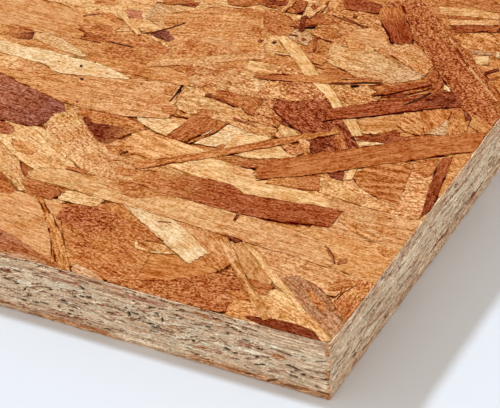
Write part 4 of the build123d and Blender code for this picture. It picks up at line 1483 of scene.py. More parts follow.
@dataclass
class ScatteredFace:
    """Strands scattered over one face of the sheet, in layers from large ones to small ones."""

    board: Board
    faces_up: bool
    seed: int
    cell: float = 4.0
    relief: float = 0.5
    skin: float = 0.03
    slab: float = 0.6
    margin: float = 0.3
    hidden_margin: float = 0.9
    squeeze: float = 2.0
    sunk_depth: float = 0.55
    stations: int = 4
    length_spread: float = 0.22
    width_spread: float = 0.38
    narrowest_end: float = 0.25
    end_slant: float = 0.35
    bow: float = 0.03
    tone_spread: float = 0.05

    def layers(self) -> list[Layer]:
        """Give the layers: a closed bed of wide strands, then narrower and shorter ones.

        Returns:
            Layers from the lowest to the highest.
        """
        bed = Layer((56.0, 19.0), 98.0, 37.0, 0.35)
        middle = Layer((34.0, 17.0), 68.0, 13.0, 0.55)
        top = Layer((46.0, 25.0), 46.0, 6.5, 0.7)
        return [bed, middle, top] if self.faces_up else [bed, Layer((48.0, 24.0), 68.0, 14.0, 0.55)]

    def scatter(self, layer: Layer, rng: np.random.Generator) -> np.ndarray:
        """Place one layer's strands on a shaken grid.

        Each outline is P(s, t) = centre + s * half_length * along + t * half_width(s) * across,
        with a taper towards both ends, a slant on each end and a slight bow.

        Args:
            layer: Sizes of the layer.
            rng: Source of the random numbers.

        Returns:
            Outline places, by strand, station and side.
        """
        size = np.array([self.board.half_length, self.board.half_width]) * 2
        count = np.ceil(size / layer.spacing).astype(int)
        grid = np.stack(np.meshgrid(*map(np.arange, count), indexing="ij"), -1).reshape(-1, 2)
        rng.shuffle(grid)
        centre = (grid + 0.5 + rng.uniform(-0.5, 0.5, grid.shape)) * (size / count) - size / 2
        number = len(centre)
        angle = rng.normal(0, layer.spread, number)
        length = layer.length * rng.lognormal(0, self.length_spread, number)
        width = layer.width * rng.lognormal(0, self.width_spread, number)
        s = np.linspace(-1, 1, self.stations)
        taper = np.ones((number, self.stations))
        slant = np.zeros((number, self.stations))
        for end in (0, -1):
            taper[:, end] = rng.uniform(self.narrowest_end, 1.0, number)
        for end in (0, -1):
            slant[:, end] = rng.normal(0, self.end_slant, number)
        bow = rng.normal(0, self.bow, number)[:, None] * length[:, None] * (1 - s ** 2)
        side = np.array([-1.0, 1.0])
        across = side * (width[:, None, None] / 2) * taper[..., None] + bow[..., None]
        along = (s * length[:, None] / 2)[..., None] + side * (slant * width[:, None] / 2)[..., None]
        turn = np.stack([np.cos(angle), np.sin(angle)], -1)[:, None, None, :]
        normal = np.stack([-np.sin(angle), np.cos(angle)], -1)[:, None, None, :]
        return centre[:, None, None, :] + along[..., None] * turn + across[..., None] * normal

    def kept_inside(self, places: np.ndarray) -> np.ndarray:
        """Squeeze the part of each strand that runs past the saw cut into a thin strip inside it.

        Args:
            places: Outlines by strand, station and side.

        Returns:
            The same outlines, inside the saw cut.
        """
        margin = self.margin if self.faces_up else self.hidden_margin
        limits = (self.board.half_length - margin, self.board.half_width - margin)
        for axis, limit in enumerate(limits):
            for sign in (1, -1):
                value = places[..., axis] * sign
                inner = limit - self.squeeze
                furthest = value.max(axis=(1, 2), keepdims=True)
                scale = np.where(furthest > limit, self.squeeze / np.maximum(furthest - inner, 1e-6), 1.0)
                places[..., axis] = sign * np.where(value > inner, inner + (value - inner) * scale, value)
        return places

    def stacked(self, places: np.ndarray) -> np.ndarray:
        """Give each strand the level above the highest one under it.

        Args:
            places: Outlines by strand, station and side.

        Returns:
            One level for each strand.
        """
        half = (self.board.half_length, self.board.half_width)
        pile = HeightMap((-half[0], -half[1]), half, self.cell)
        levels = np.zeros(len(places))
        station = np.linspace(0, 1, 26) * (self.stations - 1)
        lower = np.minimum(station.astype(int), self.stations - 2)
        part = (station - lower)[:, None, None]
        v = np.linspace(0, 1, 9)[None, :, None]
        for number, outline in enumerate(places):
            line = outline[lower] * (1 - part) + outline[lower + 1] * part
            rows, columns = pile.cells(line[:, :1] * (1 - v) + line[:, 1:] * v)
            levels[number] = pile.height[rows, columns].max() + 1
            pile.height[rows, columns] = levels[number]
        return levels

    def build(self, name: str, material: bpy.types.Material, parts: int,
              taken: HeightMap | None = None) -> None:
        """Scatter all layers and write them as a few meshes, side by side along the sheet.

        Args:
            name: Start of each mesh's name.
            material: Finish of the strands.
            parts: Number of meshes.
            taken: Where the listed strands already lie, from the near corner.
        """
        rng = np.random.default_rng(self.seed)
        sheets = [self.scatter(layer, rng) for layer in self.layers()]
        layer_of = np.concatenate([np.full(len(sheet), number) for number, sheet in enumerate(sheets)])
        places = self.kept_inside(np.concatenate(sheets))
        sunk = np.zeros(len(places), bool)
        if taken is not None:
            local = places.reshape(len(places), -1, 2) - self.board.near_corner()
            local = np.concatenate([local, local.mean(1, keepdims=True)], 1)
            rows, columns = taken.cells(local)
            furthest = taken.low[1] + taken.cell * taken.height.shape[0]
            inside = (local > taken.low).all(-1) & (local[..., 1] < furthest)
            hit = ((taken.height[rows, columns] > 0) & inside).any(1)
            keep = ~hit | (layer_of == 0)
            sunk = (hit & (layer_of == 0))[keep]
            places, layer_of = places[keep], layer_of[keep]
        level = self.stacked(places)
        depth = self.relief * (1 - level / level.max()) + self.skin
        depth = depth + np.where(sunk, self.sunk_depth, 0.0)
        tones = self.tones(len(places), rng)
        region = np.floor((places[..., 0].mean(axis=(1, 2)) / self.board.half_length + 1) / 2 * parts)
        region = region.clip(0, parts - 1).astype(int)
        for number in range(parts):
            chosen = region == number
            store = MeshStore()
            self.add_slabs(store, places[chosen], depth[chosen], tones[chosen], rng)
            store.write(f"{name}_{number + 1}", material)

    def tones(self, number: int, rng: np.random.Generator) -> np.ndarray:
        """Choose a wood colour for each strand, with the shares that the near corner shows.

        Args:
            number: Number of strands.
            rng: Source of the random numbers.

        Returns:
            One colour for each strand.
        """
        t = Tone
        shares = {t.CREAM: 7, t.VANILLA: 11, t.STRAW: 17, t.HONEY: 19, t.PEACH: 11, t.GREIGE: 5,
                  t.CARAMEL: 9, t.GINGER: 8, t.AMBER: 7, t.TAWNY: 5, t.SIENNA: 4, t.RUST: 4,
                  t.BRICK: 2, t.UMBER: 1.4, t.MAUVE: 1.0}
        colours = np.array([tone.value for tone in shares])
        weight = np.array(list(shares.values()), float)
        pick = rng.choice(len(weight), number, p=weight / weight.sum())
        return colours[pick] * rng.normal(1, self.tone_spread, (number, 1))

    def add_slabs(self, store: MeshStore, places: np.ndarray, depth: np.ndarray, tones: np.ndarray,
                  rng: np.random.Generator) -> None:
        """Add many strands at once as closed slabs.

        Args:
            store: Mesh that takes the slabs.
            places: Outlines by strand, station and side.
            depth: How far each strand's outer side lies inside the face.
            tones: Colour of each strand.
            rng: Source of the random numbers.
        """
        number, stations, columns, _ = places.shape
        grid = (number, stations, columns)
        sign = 1.0 if self.faces_up else -1.0
        outer = (self.board.thickness - depth if self.faces_up else depth)[:, None, None]
        layers = [np.concatenate([places, np.broadcast_to(z, grid)[..., None]], -1)
                  for z in (outer, outer - sign * self.slab)]
        points = np.stack(layers, 1).reshape(-1, 3)
        faces = slab_faces(stations, columns)
        if not self.faces_up:
            faces = faces[:, ::-1]
        offset = np.arange(number)[:, None, None] * (2 * stations * columns)
        axis = places[:, -1].mean(1) - places[:, 0].mean(1)
        axis /= np.linalg.norm(axis, axis=-1, keepdims=True)
        normal = np.stack([-axis[:, 1], axis[:, 0]], -1)
        away = places - places.mean(axis=(1, 2), keepdims=True)
        along = np.einsum("nijk,nk->nij", away, axis)
        aside = np.einsum("nijk,nk->nij", away, normal)
        seed = rng.random((number, 3)) * NOISE_SPREAD
        grain = np.stack([along + seed[:, :1, None], aside + seed[:, 1:2, None],
                          np.broadcast_to(seed[:, 2:, None], along.shape)], -1)
        half_width = np.linalg.norm(places[:, :, 1] - places[:, :, 0], axis=-1)[..., None] / 2
        half_length = np.abs(along).max(axis=(1, 2))[:, None, None]
        side = np.array([-1.0, 1.0])[None, None, :]
        share = np.linspace(-1, 1, stations)[None, :, None]
        reach = np.broadcast_arrays(side * half_width, half_width, share * half_length, half_length)
        blotch = rng.choice([0.1, 0.25, 0.5, 0.9], number, p=[0.35, 0.35, 0.2, 0.1])
        tone = np.concatenate([tones, blotch[:, None]], -1)[:, None, None, :]
        trait = np.zeros((*grid, 4))
        trait[..., 0] = rng.choice([0.0, 0.4, 1.0], number, p=[0.6, 0.25, 0.15])[:, None, None]
        # Every scattered strand takes the full painted shade along its edges
        trait[..., 1] = 1.0
        trait[..., 2] = rng.uniform(0.1, 1.0, number)[:, None, None]
        layers = {"tone": np.broadcast_to(tone, (*grid, 4)), "grain": grain,
                  "reach": np.stack(reach, -1), "trait": trait}
        numbers = {key: np.stack([value, value], 1).reshape(-1, value.shape[-1])
                   for key, value in layers.items()}
        store.add(points, [(faces + offset).reshape(-1, 4)], **numbers)


@dataclass(frozen=True)
class EdgeMark:
    """One feature of a sawn edge, as a lens on the edge.

    Places are in millimetres: along is measured from the near corner, height from the underside.
    """

    tone: EdgeTone
    along: float
    height: float
    half_length: float
    half_height: float
    depth: float = 0.0
    slope: float = 0.0


def front_edge_marks() -> list[EdgeMark]:
    """List the features of the front edge that the picture shows, from the lowest to the highest.

    Returns:
        Features from the lowest to the highest.
    """
    e = EdgeTone
    streaks = [EdgeMark(e.BISCUIT, -13 + k % 3, 12.6 + 0.9 * k, 11 + k % 2, 0.34, slope=0.012 * (k % 3))
               for k in range(6)]
    between = [EdgeMark(e.DRAB, -11 - 2 * (k % 3), 13.0 + 0.9 * k, 7 + k % 3, 0.12, 0.08, 0.01)
               for k in range(5)]
    rows = [
        (e.OCHRE, -70, 1, 14, 0.8), (e.COPPER, -70, 1.5, 9, 0.4), (e.PALE, -53, 1.6, 10, 0.9),
        (e.OCHRE, -26, 1.3, 17, 0.8, 0, -0.01), (e.COPPER, -27, 1.4, 9, 0.3), (e.OCHRE, -7, 1.2, 9, 0.9),
        (e.CLAY, -74, 16.8, 4.2, 0.25, 0.15), (e.CLAY, -71, 15.5, 1.2, 0.35, 0.1),
        (e.COPPER, -77, 14, 8, 0.14, 0.25, 0.04), (e.BARK, -66, 16.7, 2.2, 0.22, 0.3),
        (e.CLAY, -49.5, 15.3, 4, 0.4, 0.15), (e.BARK, -49.5, 17.2, 1.3, 0.2, 0.3),
        (e.BARK, -46, 17, 1.3, 0.26, 0.3), (e.BARK, -43, 16.8, 1.3, 0.22, 0.3),
        (e.BARK, -34.5, 17.6, 1.8, 0.16, 0.3), (e.BARK, -28, 17.4, 2.2, 0.16, 0.3, -0.03),
        (e.BARK, -31, 16, 1, 0.2, 0.3), (e.BARK, -26, 16.9, 0.4, 0.3, 0.4),
        (e.COPPER, -35, 15.9, 3, 0.5, 0, -0.1), (e.PALE, -76, 12.4, 5.5, 0.5, 0, 0.09),
        (e.COPPER, -14, 9.5, 2.2, 0.7, 0, -0.05), (e.CLAY, -23, 10.4, 3.4, 0.5, 0, 0.12),
        (e.CLAY, -31, 5.6, 1.4, 0.7), (e.PALE, -22, 8.6, 6, 0.5, 0, 0.05),
        (e.PALE, -11, 12.2, 12, 0.22, 0, -0.02), (e.PALE, -58, 4.3, 7, 0.2, 0, -0.02),
        (e.PALE, -35, 4.1, 12, 0.24, 0, -0.06), (e.PALE, -13, 3.2, 12, 0.24, 0, -0.04),
        (e.BARK, -22.5, 1.3, 1.2, 0.3, 0.3, 0.1), (e.BARK, -16, 1.3, 1.8, 0.3, 0.3, 0.45),
        (e.BARK, -10.5, 1.1, 3, 0.3, 0.3), (e.BARK, -1.6, 1.8, 2, 0.25, 0.3),
        (e.PIT, -89, 13.4, 1.3, 0.22, 0.7), (e.PIT, -92.6, 9.9, 1.4, 0.25, 0.8, -0.1),
        (e.PIT, -90.2, 9.8, 0.7, 0.3, 0.8), (e.PIT, -75.7, 7.8, 1, 0.3, 0.8),
        (e.PIT, -70, 11, 0.8, 0.3, 0.8), (e.PIT, -69.7, 13.6, 0.7, 0.25, 0.7),
        (e.PIT, -56.3, 9.7, 0.45, 0.8, 0.9), (e.PIT, -54.5, 10.3, 0.9, 0.25, 0.8),
        (e.PIT, -81.5, 5.3, 1.6, 0.25, 0.7), (e.PIT, -77.2, 5.5, 0.5, 0.25, 0.7),
        (e.PIT, -73.5, 5.3, 0.8, 0.25, 0.7), (e.PIT, -87.8, 4.3, 0.9, 0.25, 0.7),
        (e.CLAY, -76.5, 3.2, 1.8, 0.3, 0.2), (e.PIT, -63, 2.7, 1.1, 0.22, 0.7),
        (e.PIT, -59, 3.2, 0.7, 0.22, 0.7), (e.PIT, -48.2, 12.3, 0.7, 0.42, 0.9),
        (e.PIT, -46.7, 10.8, 0.35, 0.8, 0.8), (e.BARK, -44, 12.4, 1.8, 0.12, 0.4, 0.15),
        (e.BARK, -36.5, 12.5, 1.9, 0.12, 0.4, 0.2), (e.PIT, -33.7, 12.6, 0.9, 0.28, 0.8),
        (e.PIT, -28, 12.3, 0.5, 0.25, 0.8), (e.PIT, -23, 11.8, 1.2, 0.2, 0.7),
        (e.PIT, -19.3, 10.1, 1, 0.28, 0.8), (e.PIT, -28.3, 7.2, 0.9, 0.4, 0.9),
        (e.PIT, -20, 7.4, 0.6, 0.32, 0.8), (e.PIT, -18.5, 5.5, 0.7, 0.28, 0.8),
        (e.PIT, -10.2, 7.3, 2.3, 0.28, 0.8, -0.15), (e.PIT, -10, 4.5, 1.4, 0.28, 0.8),
        (e.PIT, -7.3, 5.8, 0.7, 0.3, 0.8), (e.BARK, -13, 11.2, 3.6, 0.18, 0.4, -0.1),
        (e.BARK, -2.6, 11.6, 1.6, 0.16, 0.4, 0.3), (e.PIT, -1.2, 6.3, 1.4, 0.26, 0.5, 0.1),
        (e.PIT, -50, 8.5, 1.2, 0.22, 0.6), (e.PIT, -49, 7.6, 1, 0.25, 0.6),
        (e.PIT, -49.6, 6.2, 1.1, 0.22, 0.6), (e.PIT, -47.6, 7.9, 0.6, 0.22, 0.6),
    ]
    return streaks + between + [EdgeMark(*row) for row in rows]


def right_edge_marks() -> list[EdgeMark]:
    """List the features of the right edge that the picture shows, from the lowest to the highest.

    Returns:
        Features from the lowest to the highest.
    """
    e = EdgeTone
    crushed = [EdgeMark(e.OCHRE if k % 3 else e.COPPER, -0.5 + 0.4 * (k % 3), 0.8 + 2.3 * k, 0.7,
                        0.9 + 0.3 * (k % 2)) for k in range(8)]
    rows = [
        (e.PALE, 45, 10.8, 24, 0.25, 0, -0.01), (e.PALE, 88, 10.4, 24, 0.25, 0, 0.01),
        (e.PALE, 14, 13.4, 11, 0.5), (e.PALE, 50, 13.2, 12, 0.5), (e.BARK, 10.5, 15.5, 2, 0.3, 0.4),
        (e.BARK, 14.5, 16, 1.5, 0.35, 0.4), (e.BARK, 23, 16.5, 1.2, 0.35, 0.4),
        (e.BARK, 32.5, 16.6, 2.2, 0.3, 0.4, -0.1), (e.BARK, 14.5, 12.8, 1.2, 0.25, 0.4),
        (e.PIT, 19, 8.9, 2.6, 0.25, 0.7, -0.1), (e.PIT, 25.5, 10, 1.9, 0.28, 0.7, 0.1),
        (e.PIT, 29.5, 10, 1.3, 0.3, 0.8), (e.BARK, 3, 6.5, 1.4, 0.28, 0.4), (e.BARK, 9, 8, 1.6, 0.2, 0.4),
        (e.BARK, 15, 3.9, 1.6, 0.28, 0.4), (e.PIT, 21, 1.9, 1.4, 0.28, 0.7),
        (e.BARK, 24.5, 1.4, 2.8, 0.24, 0.4), (e.BARK, 22.5, 4, 1.2, 0.28, 0.4),
        (e.BARK, 34.5, 2.2, 1.9, 0.28, 0.5, -0.1), (e.PIT, 43.5, 1, 1.2, 0.28, 0.6),
        (e.PIT, 45, 5.6, 1.5, 0.32, 0.7), (e.BARK, 43, 9.2, 1.2, 0.22, 0.4),
        (e.BARK, 43, 13, 1.2, 0.28, 0.4), (e.BARK, 45, 15, 1.6, 0.28, 0.4),
        (e.BARK, 50, 1.9, 2.4, 0.28, 0.5), (e.BARK, 56, 14.6, 2.2, 0.25, 0.4),
        (e.PIT, 79, 6.8, 1.2, 0.28, 0.6), (e.PIT, 85, 8, 2.1, 0.28, 0.6),
        (e.BARK, 81, 15.5, 1.6, 0.28, 0.4), (e.BARK, 75.5, 1.2, 1.3, 0.28, 0.4),
        (e.BARK, 83, 3, 0.8, 0.6, 0.4), (e.CLAY, 86, 12.2, 2.6, 0.4, 0.2), (e.BARK, 107, 8.5, 2, 0.28, 0.5),
        (e.BARK, 108, 14, 1.8, 0.28, 0.4), (e.CLAY, 15, 1.5, 1.8, 0.8, 0.2),
    ]
    return crushed + [EdgeMark(*row) for row in rows]


@dataclass
class SawnBand:
    """Sawn band round the four edges: a profile carried round the sheet, cut by strand ends.

    At a distance u along the edge and a height z, a point lies at outline(u) minus depth(u, z)
    times the outward direction. The depth is a sum of saw chatter, the own depth of the cut
    strand at that place, a groove at its border and the pits between strands.
    """

    board: Board
    radius: float = 0.8
    arris: float = 0.3
    arris_wear: float = 0.03
    back: float = 3.0
    back_radius: float = 0.4
    back_cover: float = 1.0
    tuck_inset: float = 0.72
    tuck_drop: float = 0.3
    underside_gap: float = 0.04
    upper_gap: float = 0.1
    skin: float = 0.05
    chatter: float = 0.012
    saw_lines: float = 0.02
    foot_wear: float = 0.05
    groove: float = 0.35
    unshaded_depth: float = 0.3
    sweep: float = 0.5
    sweep_rate: float = 0.1745
    turn_reach: float = 3.0
    turn_depth: float = 0.5
    most_depth: float = 1.2
    face_layers: Point = (3.6, 13.6)
    long_cut: Point = (5, 18)
    short_cut: Point = (1.2, 5.5)
    long_cut_height: Point = (0.25, 0.5)
    short_cut_height: Point = (0.2, 0.55)
    slopes: Point = (0.02, 0.13)
    near_reach: Point = (-112.0, 128.0)
    near_step: float = 0.27
    near_rows: int = 84
    near_crowd: float = 6.5
    overlap: float = 0.3
    far_step: float = 2.6
    far_rows: int = 26
    far_crowd: float = 2.0
    far_drop: float = 0.35
    tone_spread: float = 0.05
    outer_shade_and_tone: Colour = (0.10, 0.19, 0.24)
    arris_fuzz_and_highlight: Colour = (1.05, 1.0, 0.9)
    seed: int = 31

    def knots(self, inset: float) -> tuple[np.ndarray, np.ndarray, np.ndarray]:
        """Give the run round the sheet as straight lines and quarter turns.

        The run starts in the middle of the near corner's turn and goes up the right edge.

        Args:
            inset: Distance of the turning centres from the sawn edges.

        Returns:
            Distances, outward angles and turning centres at the ends of each part.
        """
        x = self.board.half_length - inset
        y = self.board.half_width - inset
        turn = math.pi / 2 * self.radius
        wide = 2 * (self.board.half_width - self.radius)
        long = 2 * (self.board.half_length - self.radius)
        parts = [0.0, turn / 2, wide, turn, long, turn, wide, turn, long, turn / 2]
        angles = np.radians([-45.0, 0, 0, 90, 90, 180, 180, 270, 270, 315])
        corners = np.array([(x, -y), (x, y), (-x, y), (-x, -y), (x, -y)])
        return np.cumsum(parts), angles, np.repeat(corners, 2, axis=0)

    def outline(self, run: np.ndarray, inset: float) -> tuple[np.ndarray, np.ndarray]:
        """Give the turning centre and the outward direction at distances along the run.

        Args:
            run: Distances along the run.
            inset: Distance of the turning centres from the sawn edges.

        Returns:
            Centres and outward directions.
        """
        distance, angles, centres = self.knots(inset)
        run = run % distance[-1]
        angle = np.interp(run, distance, angles)
        centre = np.stack([np.interp(run, distance, column) for column in centres.T], -1)
        return centre, np.stack([np.cos(angle), np.sin(angle)], -1)

    def paint(self, run: np.ndarray, height: np.ndarray, marks: list[EdgeMark], sweep: float,
              depth: np.ndarray, tone: np.ndarray, grain: np.ndarray, rng: np.random.Generator) -> None:
        """Lay cut strands over the grid, each one a lens |v / b| < 1 - |u / a|^3, later over earlier.

        The layers of the mat sweep up and down: v is taken from z plus two sines of u, whose
        height falls to nothing at both faces.

        Args:
            run: Distance of each station along the edge.
            height: Height of each row.
            marks: Cut strands from the lowest to the highest.
            sweep: Height of the sweep in mid-thickness.
            depth: Depth grid, changed in place.
            tone: Colour grid, changed in place.
            grain: Grain grid, changed in place.
            rng: Source of the random numbers.
        """
        for mark in marks:
            ends = [mark.along - mark.half_length, mark.along + mark.half_length]
            first, last = np.searchsorted(run, ends)
            rise = abs(mark.slope) * mark.half_length + mark.half_height + 1.6 * sweep
            low, high = np.searchsorted(height, [mark.height - rise, mark.height + rise])
            if first == last or low == high:
                continue
            block = (slice(first, last), slice(low, high))
            place = run[first:last, None]
            z = height[None, low:high]
            u = (place - mark.along) / mark.half_length
            bow = mark.slope * (place - mark.along)
            swell = np.sin(place / 7.5 + z * 0.22) + 0.6 * np.sin(place / 3.1 + z * 0.5)
            v = (z + sweep * swell * np.sin(z * self.sweep_rate) - mark.height - bow) / mark.half_height
            waver = 1 + 0.25 * np.sin(u * 9 + mark.along) + 0.15 * np.sin(u * 23 + mark.height)
            inside = 1 - np.abs(u) ** 3 - np.abs(v) * waver
            hit = inside > 0
            border = np.clip(self.groove - inside, 0, self.groove) * self.groove
            sunk = mark.depth + (border if mark.tone is not EdgeTone.PIT else 0.0)
            shade = np.clip(0.78 + inside * 0.9, 0, 1)[..., None]
            shade = shade if mark.depth < self.unshaded_depth else 1.0
            colour = np.array(mark.tone.value) * shade * rng.normal(1, self.tone_spread)
            depth[block] = np.where(hit, sunk, depth[block])
            tone[block] = np.where(hit[..., None], colour, tone[block])
            grain[block] = np.where(hit, rng.uniform(0, 300), grain[block])

    def scattered(self, low: float, high: float, cut_across: bool, rng: np.random.Generator,
                  crowd: float) -> list[EdgeMark]:
        """Scatter cut strands over a stretch of edge.

        Args:
            low: Start of the stretch.
            high: End of the stretch.
            cut_across: Whether the face strands are cut across here, as on the short edges.
            rng: Source of the random numbers.
            crowd: Cut strands for each millimetre of edge.

        Returns:
            Cut strands, then the pits between them.
        """
        e = EdgeTone
        thickness = self.board.thickness
        number = int((high - low) * crowd)
        height = rng.uniform(0, thickness, number)
        face = (height < self.face_layers[0]) | (height > self.face_layers[1])
        lengthwise = face != cut_across
        cuts = ((self.long_cut, self.short_cut), (self.long_cut_height, self.short_cut_height))
        half_length, half_height = (
            np.where(lengthwise, rng.uniform(*long, number), rng.uniform(*short, number))
            for long, short in cuts)
        slope = rng.normal(0, 1, number) * np.where(lengthwise, *self.slopes)
        shares = {e.PALE: 0.22, e.BISCUIT: 0.30, e.SAND: 0.24, e.DRAB: 0.10, e.OCHRE: 0.05,
                  e.CLAY: 0.05, e.COPPER: 0.02, e.BARK: 0.02}
        tones, weight = list(shares), np.array(list(shares.values()))
        pick = rng.choice(len(tones), number, p=weight / weight.sum())
        marks = [EdgeMark(tones[pick[k]], rng.uniform(low, high), height[k], half_length[k], half_height[k],
                          rng.uniform(0, 0.16), slope[k]) for k in range(number)]

        # Thin cracks and stray fibres lie over the cut strands, then pits where strands end; the dark
        # colour of cracks and pits is painted shade
        for tone, share, longest, thickest, deepest in (
                (e.BARK, 0.36, 2.6, 0.13, 0.35), (e.PALE, 0.5, 4.0, 0.14, 0.0),
                (e.CLAY, 0.2, 2.0, 0.16, 0.1), (e.PIT, 0.07, 0.9, 0.24, 0.8)):
            for _ in range(int(number * share)):
                z = np.clip(rng.normal(thickness / 2, 4.6), 0.6, thickness - 0.6)
                marks.append(EdgeMark(tone, rng.uniform(low, high), z, longest * rng.uniform(0.25, 1.0),
                                      thickest * rng.uniform(0.6, 1.2), slope=rng.normal(0, 0.14),
                                      depth=deepest * rng.uniform(0.5, 1.0)))
        return marks

    def section(self, name: str, run: np.ndarray, rows: int, marks: list[EdgeMark], placed: list[EdgeMark],
                lip: np.ndarray, material: bpy.types.Material, rng: np.random.Generator) -> None:
        """Carry the profile along a stretch of the run and write it as one closed mesh.

        Args:
            name: Name of the mesh.
            run: Distances of the stations.
            rows: Rows on the outer side.
            marks: Scattered cut strands.
            placed: Cut strands listed one by one, over the scattered ones.
            lip: Height of the top at each station.
            material: Finish of the band.
            rng: Source of the random numbers.
        """
        thickness, stations = self.board.thickness, len(run)
        level = np.linspace(0, 1, rows)
        height = self.underside_gap + level * (thickness - self.upper_gap - self.underside_gap)
        depth = np.full((stations, rows), self.skin)
        tone = np.broadcast_to(EdgeTone.SAND.value, (stations, rows, 3)).copy()
        seeds = np.zeros((stations, rows))
        self.paint(run, height, marks, self.sweep, depth, tone, seeds, rng)
        self.paint(run, height, placed, 0.0, depth, tone, seeds, rng)
        chatter = rng.normal(0, self.chatter, depth.shape) + rng.normal(0, self.saw_lines, (1, rows))
        depth = depth + self.skin + np.abs(chatter)
        grain = np.stack([*np.broadcast_arrays(run[:, None], height), seeds], -1)

        # Towards both faces the edge is darker and warmer, partly the face layers' own tone and partly
        # painted shade near the floor
        outer = np.clip(np.abs(height / thickness - 0.5) * 4 - 0.9, 0, 1)
        tone *= 1 - outer[:, None] * np.array(self.outer_shade_and_tone)

        # The arris is a thin pale line, partly pale saw fuzz and partly a painted highlight, and the foot
        # is a little ragged
        tone[:, -1] = np.array(EdgeTone.PALE.value) * np.array(self.arris_fuzz_and_highlight)
        foot = np.abs(rng.normal(0, self.foot_wear, stations))
        z = foot[:, None] + (lip - foot)[:, None] * level
        depth = np.maximum(depth, z - (thickness - self.arris) + self.arris_wear)
        depth = np.maximum(depth, self.arris - z + self.arris_wear)

        # Corners of the sheet are turned tightly, so pits stay shallow there
        distance = self.knots(self.radius)[0]
        turns = (distance[0::2] + distance[1::2]) / 2
        turns[0] = 0.0
        away = np.abs(run[:, None] % distance[-1] - np.append(turns, distance[-1])).min(1)
        deepest = np.where(away < self.turn_reach, self.turn_depth, self.most_depth)
        depth = np.minimum(depth, deepest[:, None])

        # The profile goes up the sawn side, under the face strands and down inside the sheet
        centre, outward = self.outline(run, self.radius)
        side = centre[:, None] + outward[:, None] * (self.radius - depth)[..., None]
        side = np.concatenate([side, z[..., None]], -1)
        tuck = centre + outward * (self.radius - self.tuck_inset)
        tuck = np.concatenate([tuck, (lip - self.tuck_drop)[:, None]], -1)
        hidden, hidden_out = self.outline(run, self.back)
        inner = hidden + hidden_out * self.back_radius
        behind = [np.concatenate([inner, np.full((stations, 1), level)], -1)
                  for level in (thickness - self.back_cover, self.back_cover)]
        grid = np.concatenate([side, np.stack([tuck, *behind], 1)], 1)
        profile = grid.shape[1]
        hidden_rows = profile - rows
        number = np.arange(stations * profile).reshape(stations, profile)
        ahead = np.roll(number, -1, axis=1)
        walls = np.stack([number[:-1], number[1:], ahead[1:], ahead[:-1]], -1).reshape(-1, 4)
        dark = np.broadcast_to(EdgeTone.BARK.value, (stations, hidden_rows, 3))
        tone = np.concatenate([np.concatenate([tone, dark], 1), np.ones((stations, profile, 1))], -1)
        grain = np.concatenate([grain, np.repeat(grain[:, -1:], hidden_rows, axis=1)], 1)
        store = MeshStore()
        store.add(grid.reshape(-1, 3), [walls, number[0][None, :], number[-1][None, ::-1]],
                  tone=tone.reshape(-1, 4), grain=grain.reshape(-1, 3))
        store.write(name, material)

    def build(self, material: bpy.types.Material, surface: HeightMap) -> None:
        """Write the fine band at the near corner and the plainer band round the rest.

        Args:
            material: Finish of the band.
            surface: Pressed height of the strands near the corner, which the band's lip follows.
        """
        rng = np.random.default_rng(self.seed)
        start, end = self.near_reach
        distance = self.knots(self.radius)[0]

        # At the near corner the stations are close, and closer still round its turn
        front, right = np.arange(start, -1.2, self.near_step), np.arange(1.25, end, self.near_step)
        run = np.concatenate([front, np.linspace(-1.0, 1.0, 11), right])
        centre, outward = self.outline(run, self.radius)
        beside = centre + outward * (self.radius - 0.6) - self.board.near_corner()
        lip = surface.highest_near(beside, 0.5) - 0.05
        lip = np.convolve(np.pad(lip, 2, mode="edge"), np.ones(5) / 5, mode="valid")
        marks = (self.scattered(start, 0, False, rng, self.near_crowd)
                 + self.scattered(0, end, True, rng, self.near_crowd))
        placed = front_edge_marks() + right_edge_marks()
        self.section("sawn_band_near", run, self.near_rows, marks, placed, lip, material, rng)

        # Round the rest the stations are wider apart, with a few at each corner
        low, high = end - self.overlap, distance[-1] + start + self.overlap
        long_run = np.linspace(low, high, math.ceil((high - low) / self.far_step))
        bends = np.concatenate([np.linspace(distance[k], distance[k + 1], 5) for k in (2, 4, 6)])
        clear = np.abs(long_run[:, None] - bends[None, :]).min(1) > 0.6
        run = np.sort(np.concatenate([long_run[clear], bends]))
        marks = []
        for k, cut_across in ((1, True), (3, False), (5, True), (7, False)):
            marks += self.scattered(distance[k], distance[k + 1], cut_across, rng, self.far_crowd)
        lip = np.full(len(run), self.board.thickness - self.far_drop)
        self.section("sawn_band_far", run, self.far_rows, marks, [], lip, material, rng)


@dataclass
class PanelCore:
    """Plain brown slab inside the strands. It closes the sheet and shows only in deep gaps."""

    board: Board
    inset: float = 2.6
    cover: float = 1.3
    stations: int = 9
    columns: int = 5

    def build(self, material: bpy.types.Material) -> None:
        """Make the slab from two grids and hide the sheet's own node.

        Args:
            material: Finish of the slab.
        """
        x = self.board.half_length - self.inset
        y = self.board.half_width - self.inset
        run, width = np.linspace(-x, x, self.stations), np.linspace(-y, y, self.columns)
        flat = np.stack(np.meshgrid(run, width, indexing="ij"), -1).reshape(-1, 2)
        heights = (self.board.thickness - self.cover, self.cover)
        layers = [np.concatenate([flat, np.full((len(flat), 1), z)], -1) for z in heights]
        store = MeshStore()
        store.add(np.concatenate(layers), [slab_faces(self.stations, self.columns)])
        core = store.write("panel_core", material)
        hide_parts(NODE)


@dataclass(frozen=True)
class Lamp:
    """One sun lamp, with its spread in degrees and the direction in which it shines."""

    name: str
    energy: float
    colour: Colour
    spread: float
    direction: tuple[float, float, float]

    def build(self) -> None:
        """Add the lamp to the scene."""
        light = bpy.data.lights.new(self.name, "SUN")
        light.energy = self.energy
        light.color = self.colour
        light.angle = math.radians(self.spread)
        lamp = bpy.data.objects.new(self.name, light)
        lamp.rotation_euler = Vector(self.direction).to_track_quat("-Z", "Y").to_euler()
        bpy.context.scene.collection.objects.link(lamp)


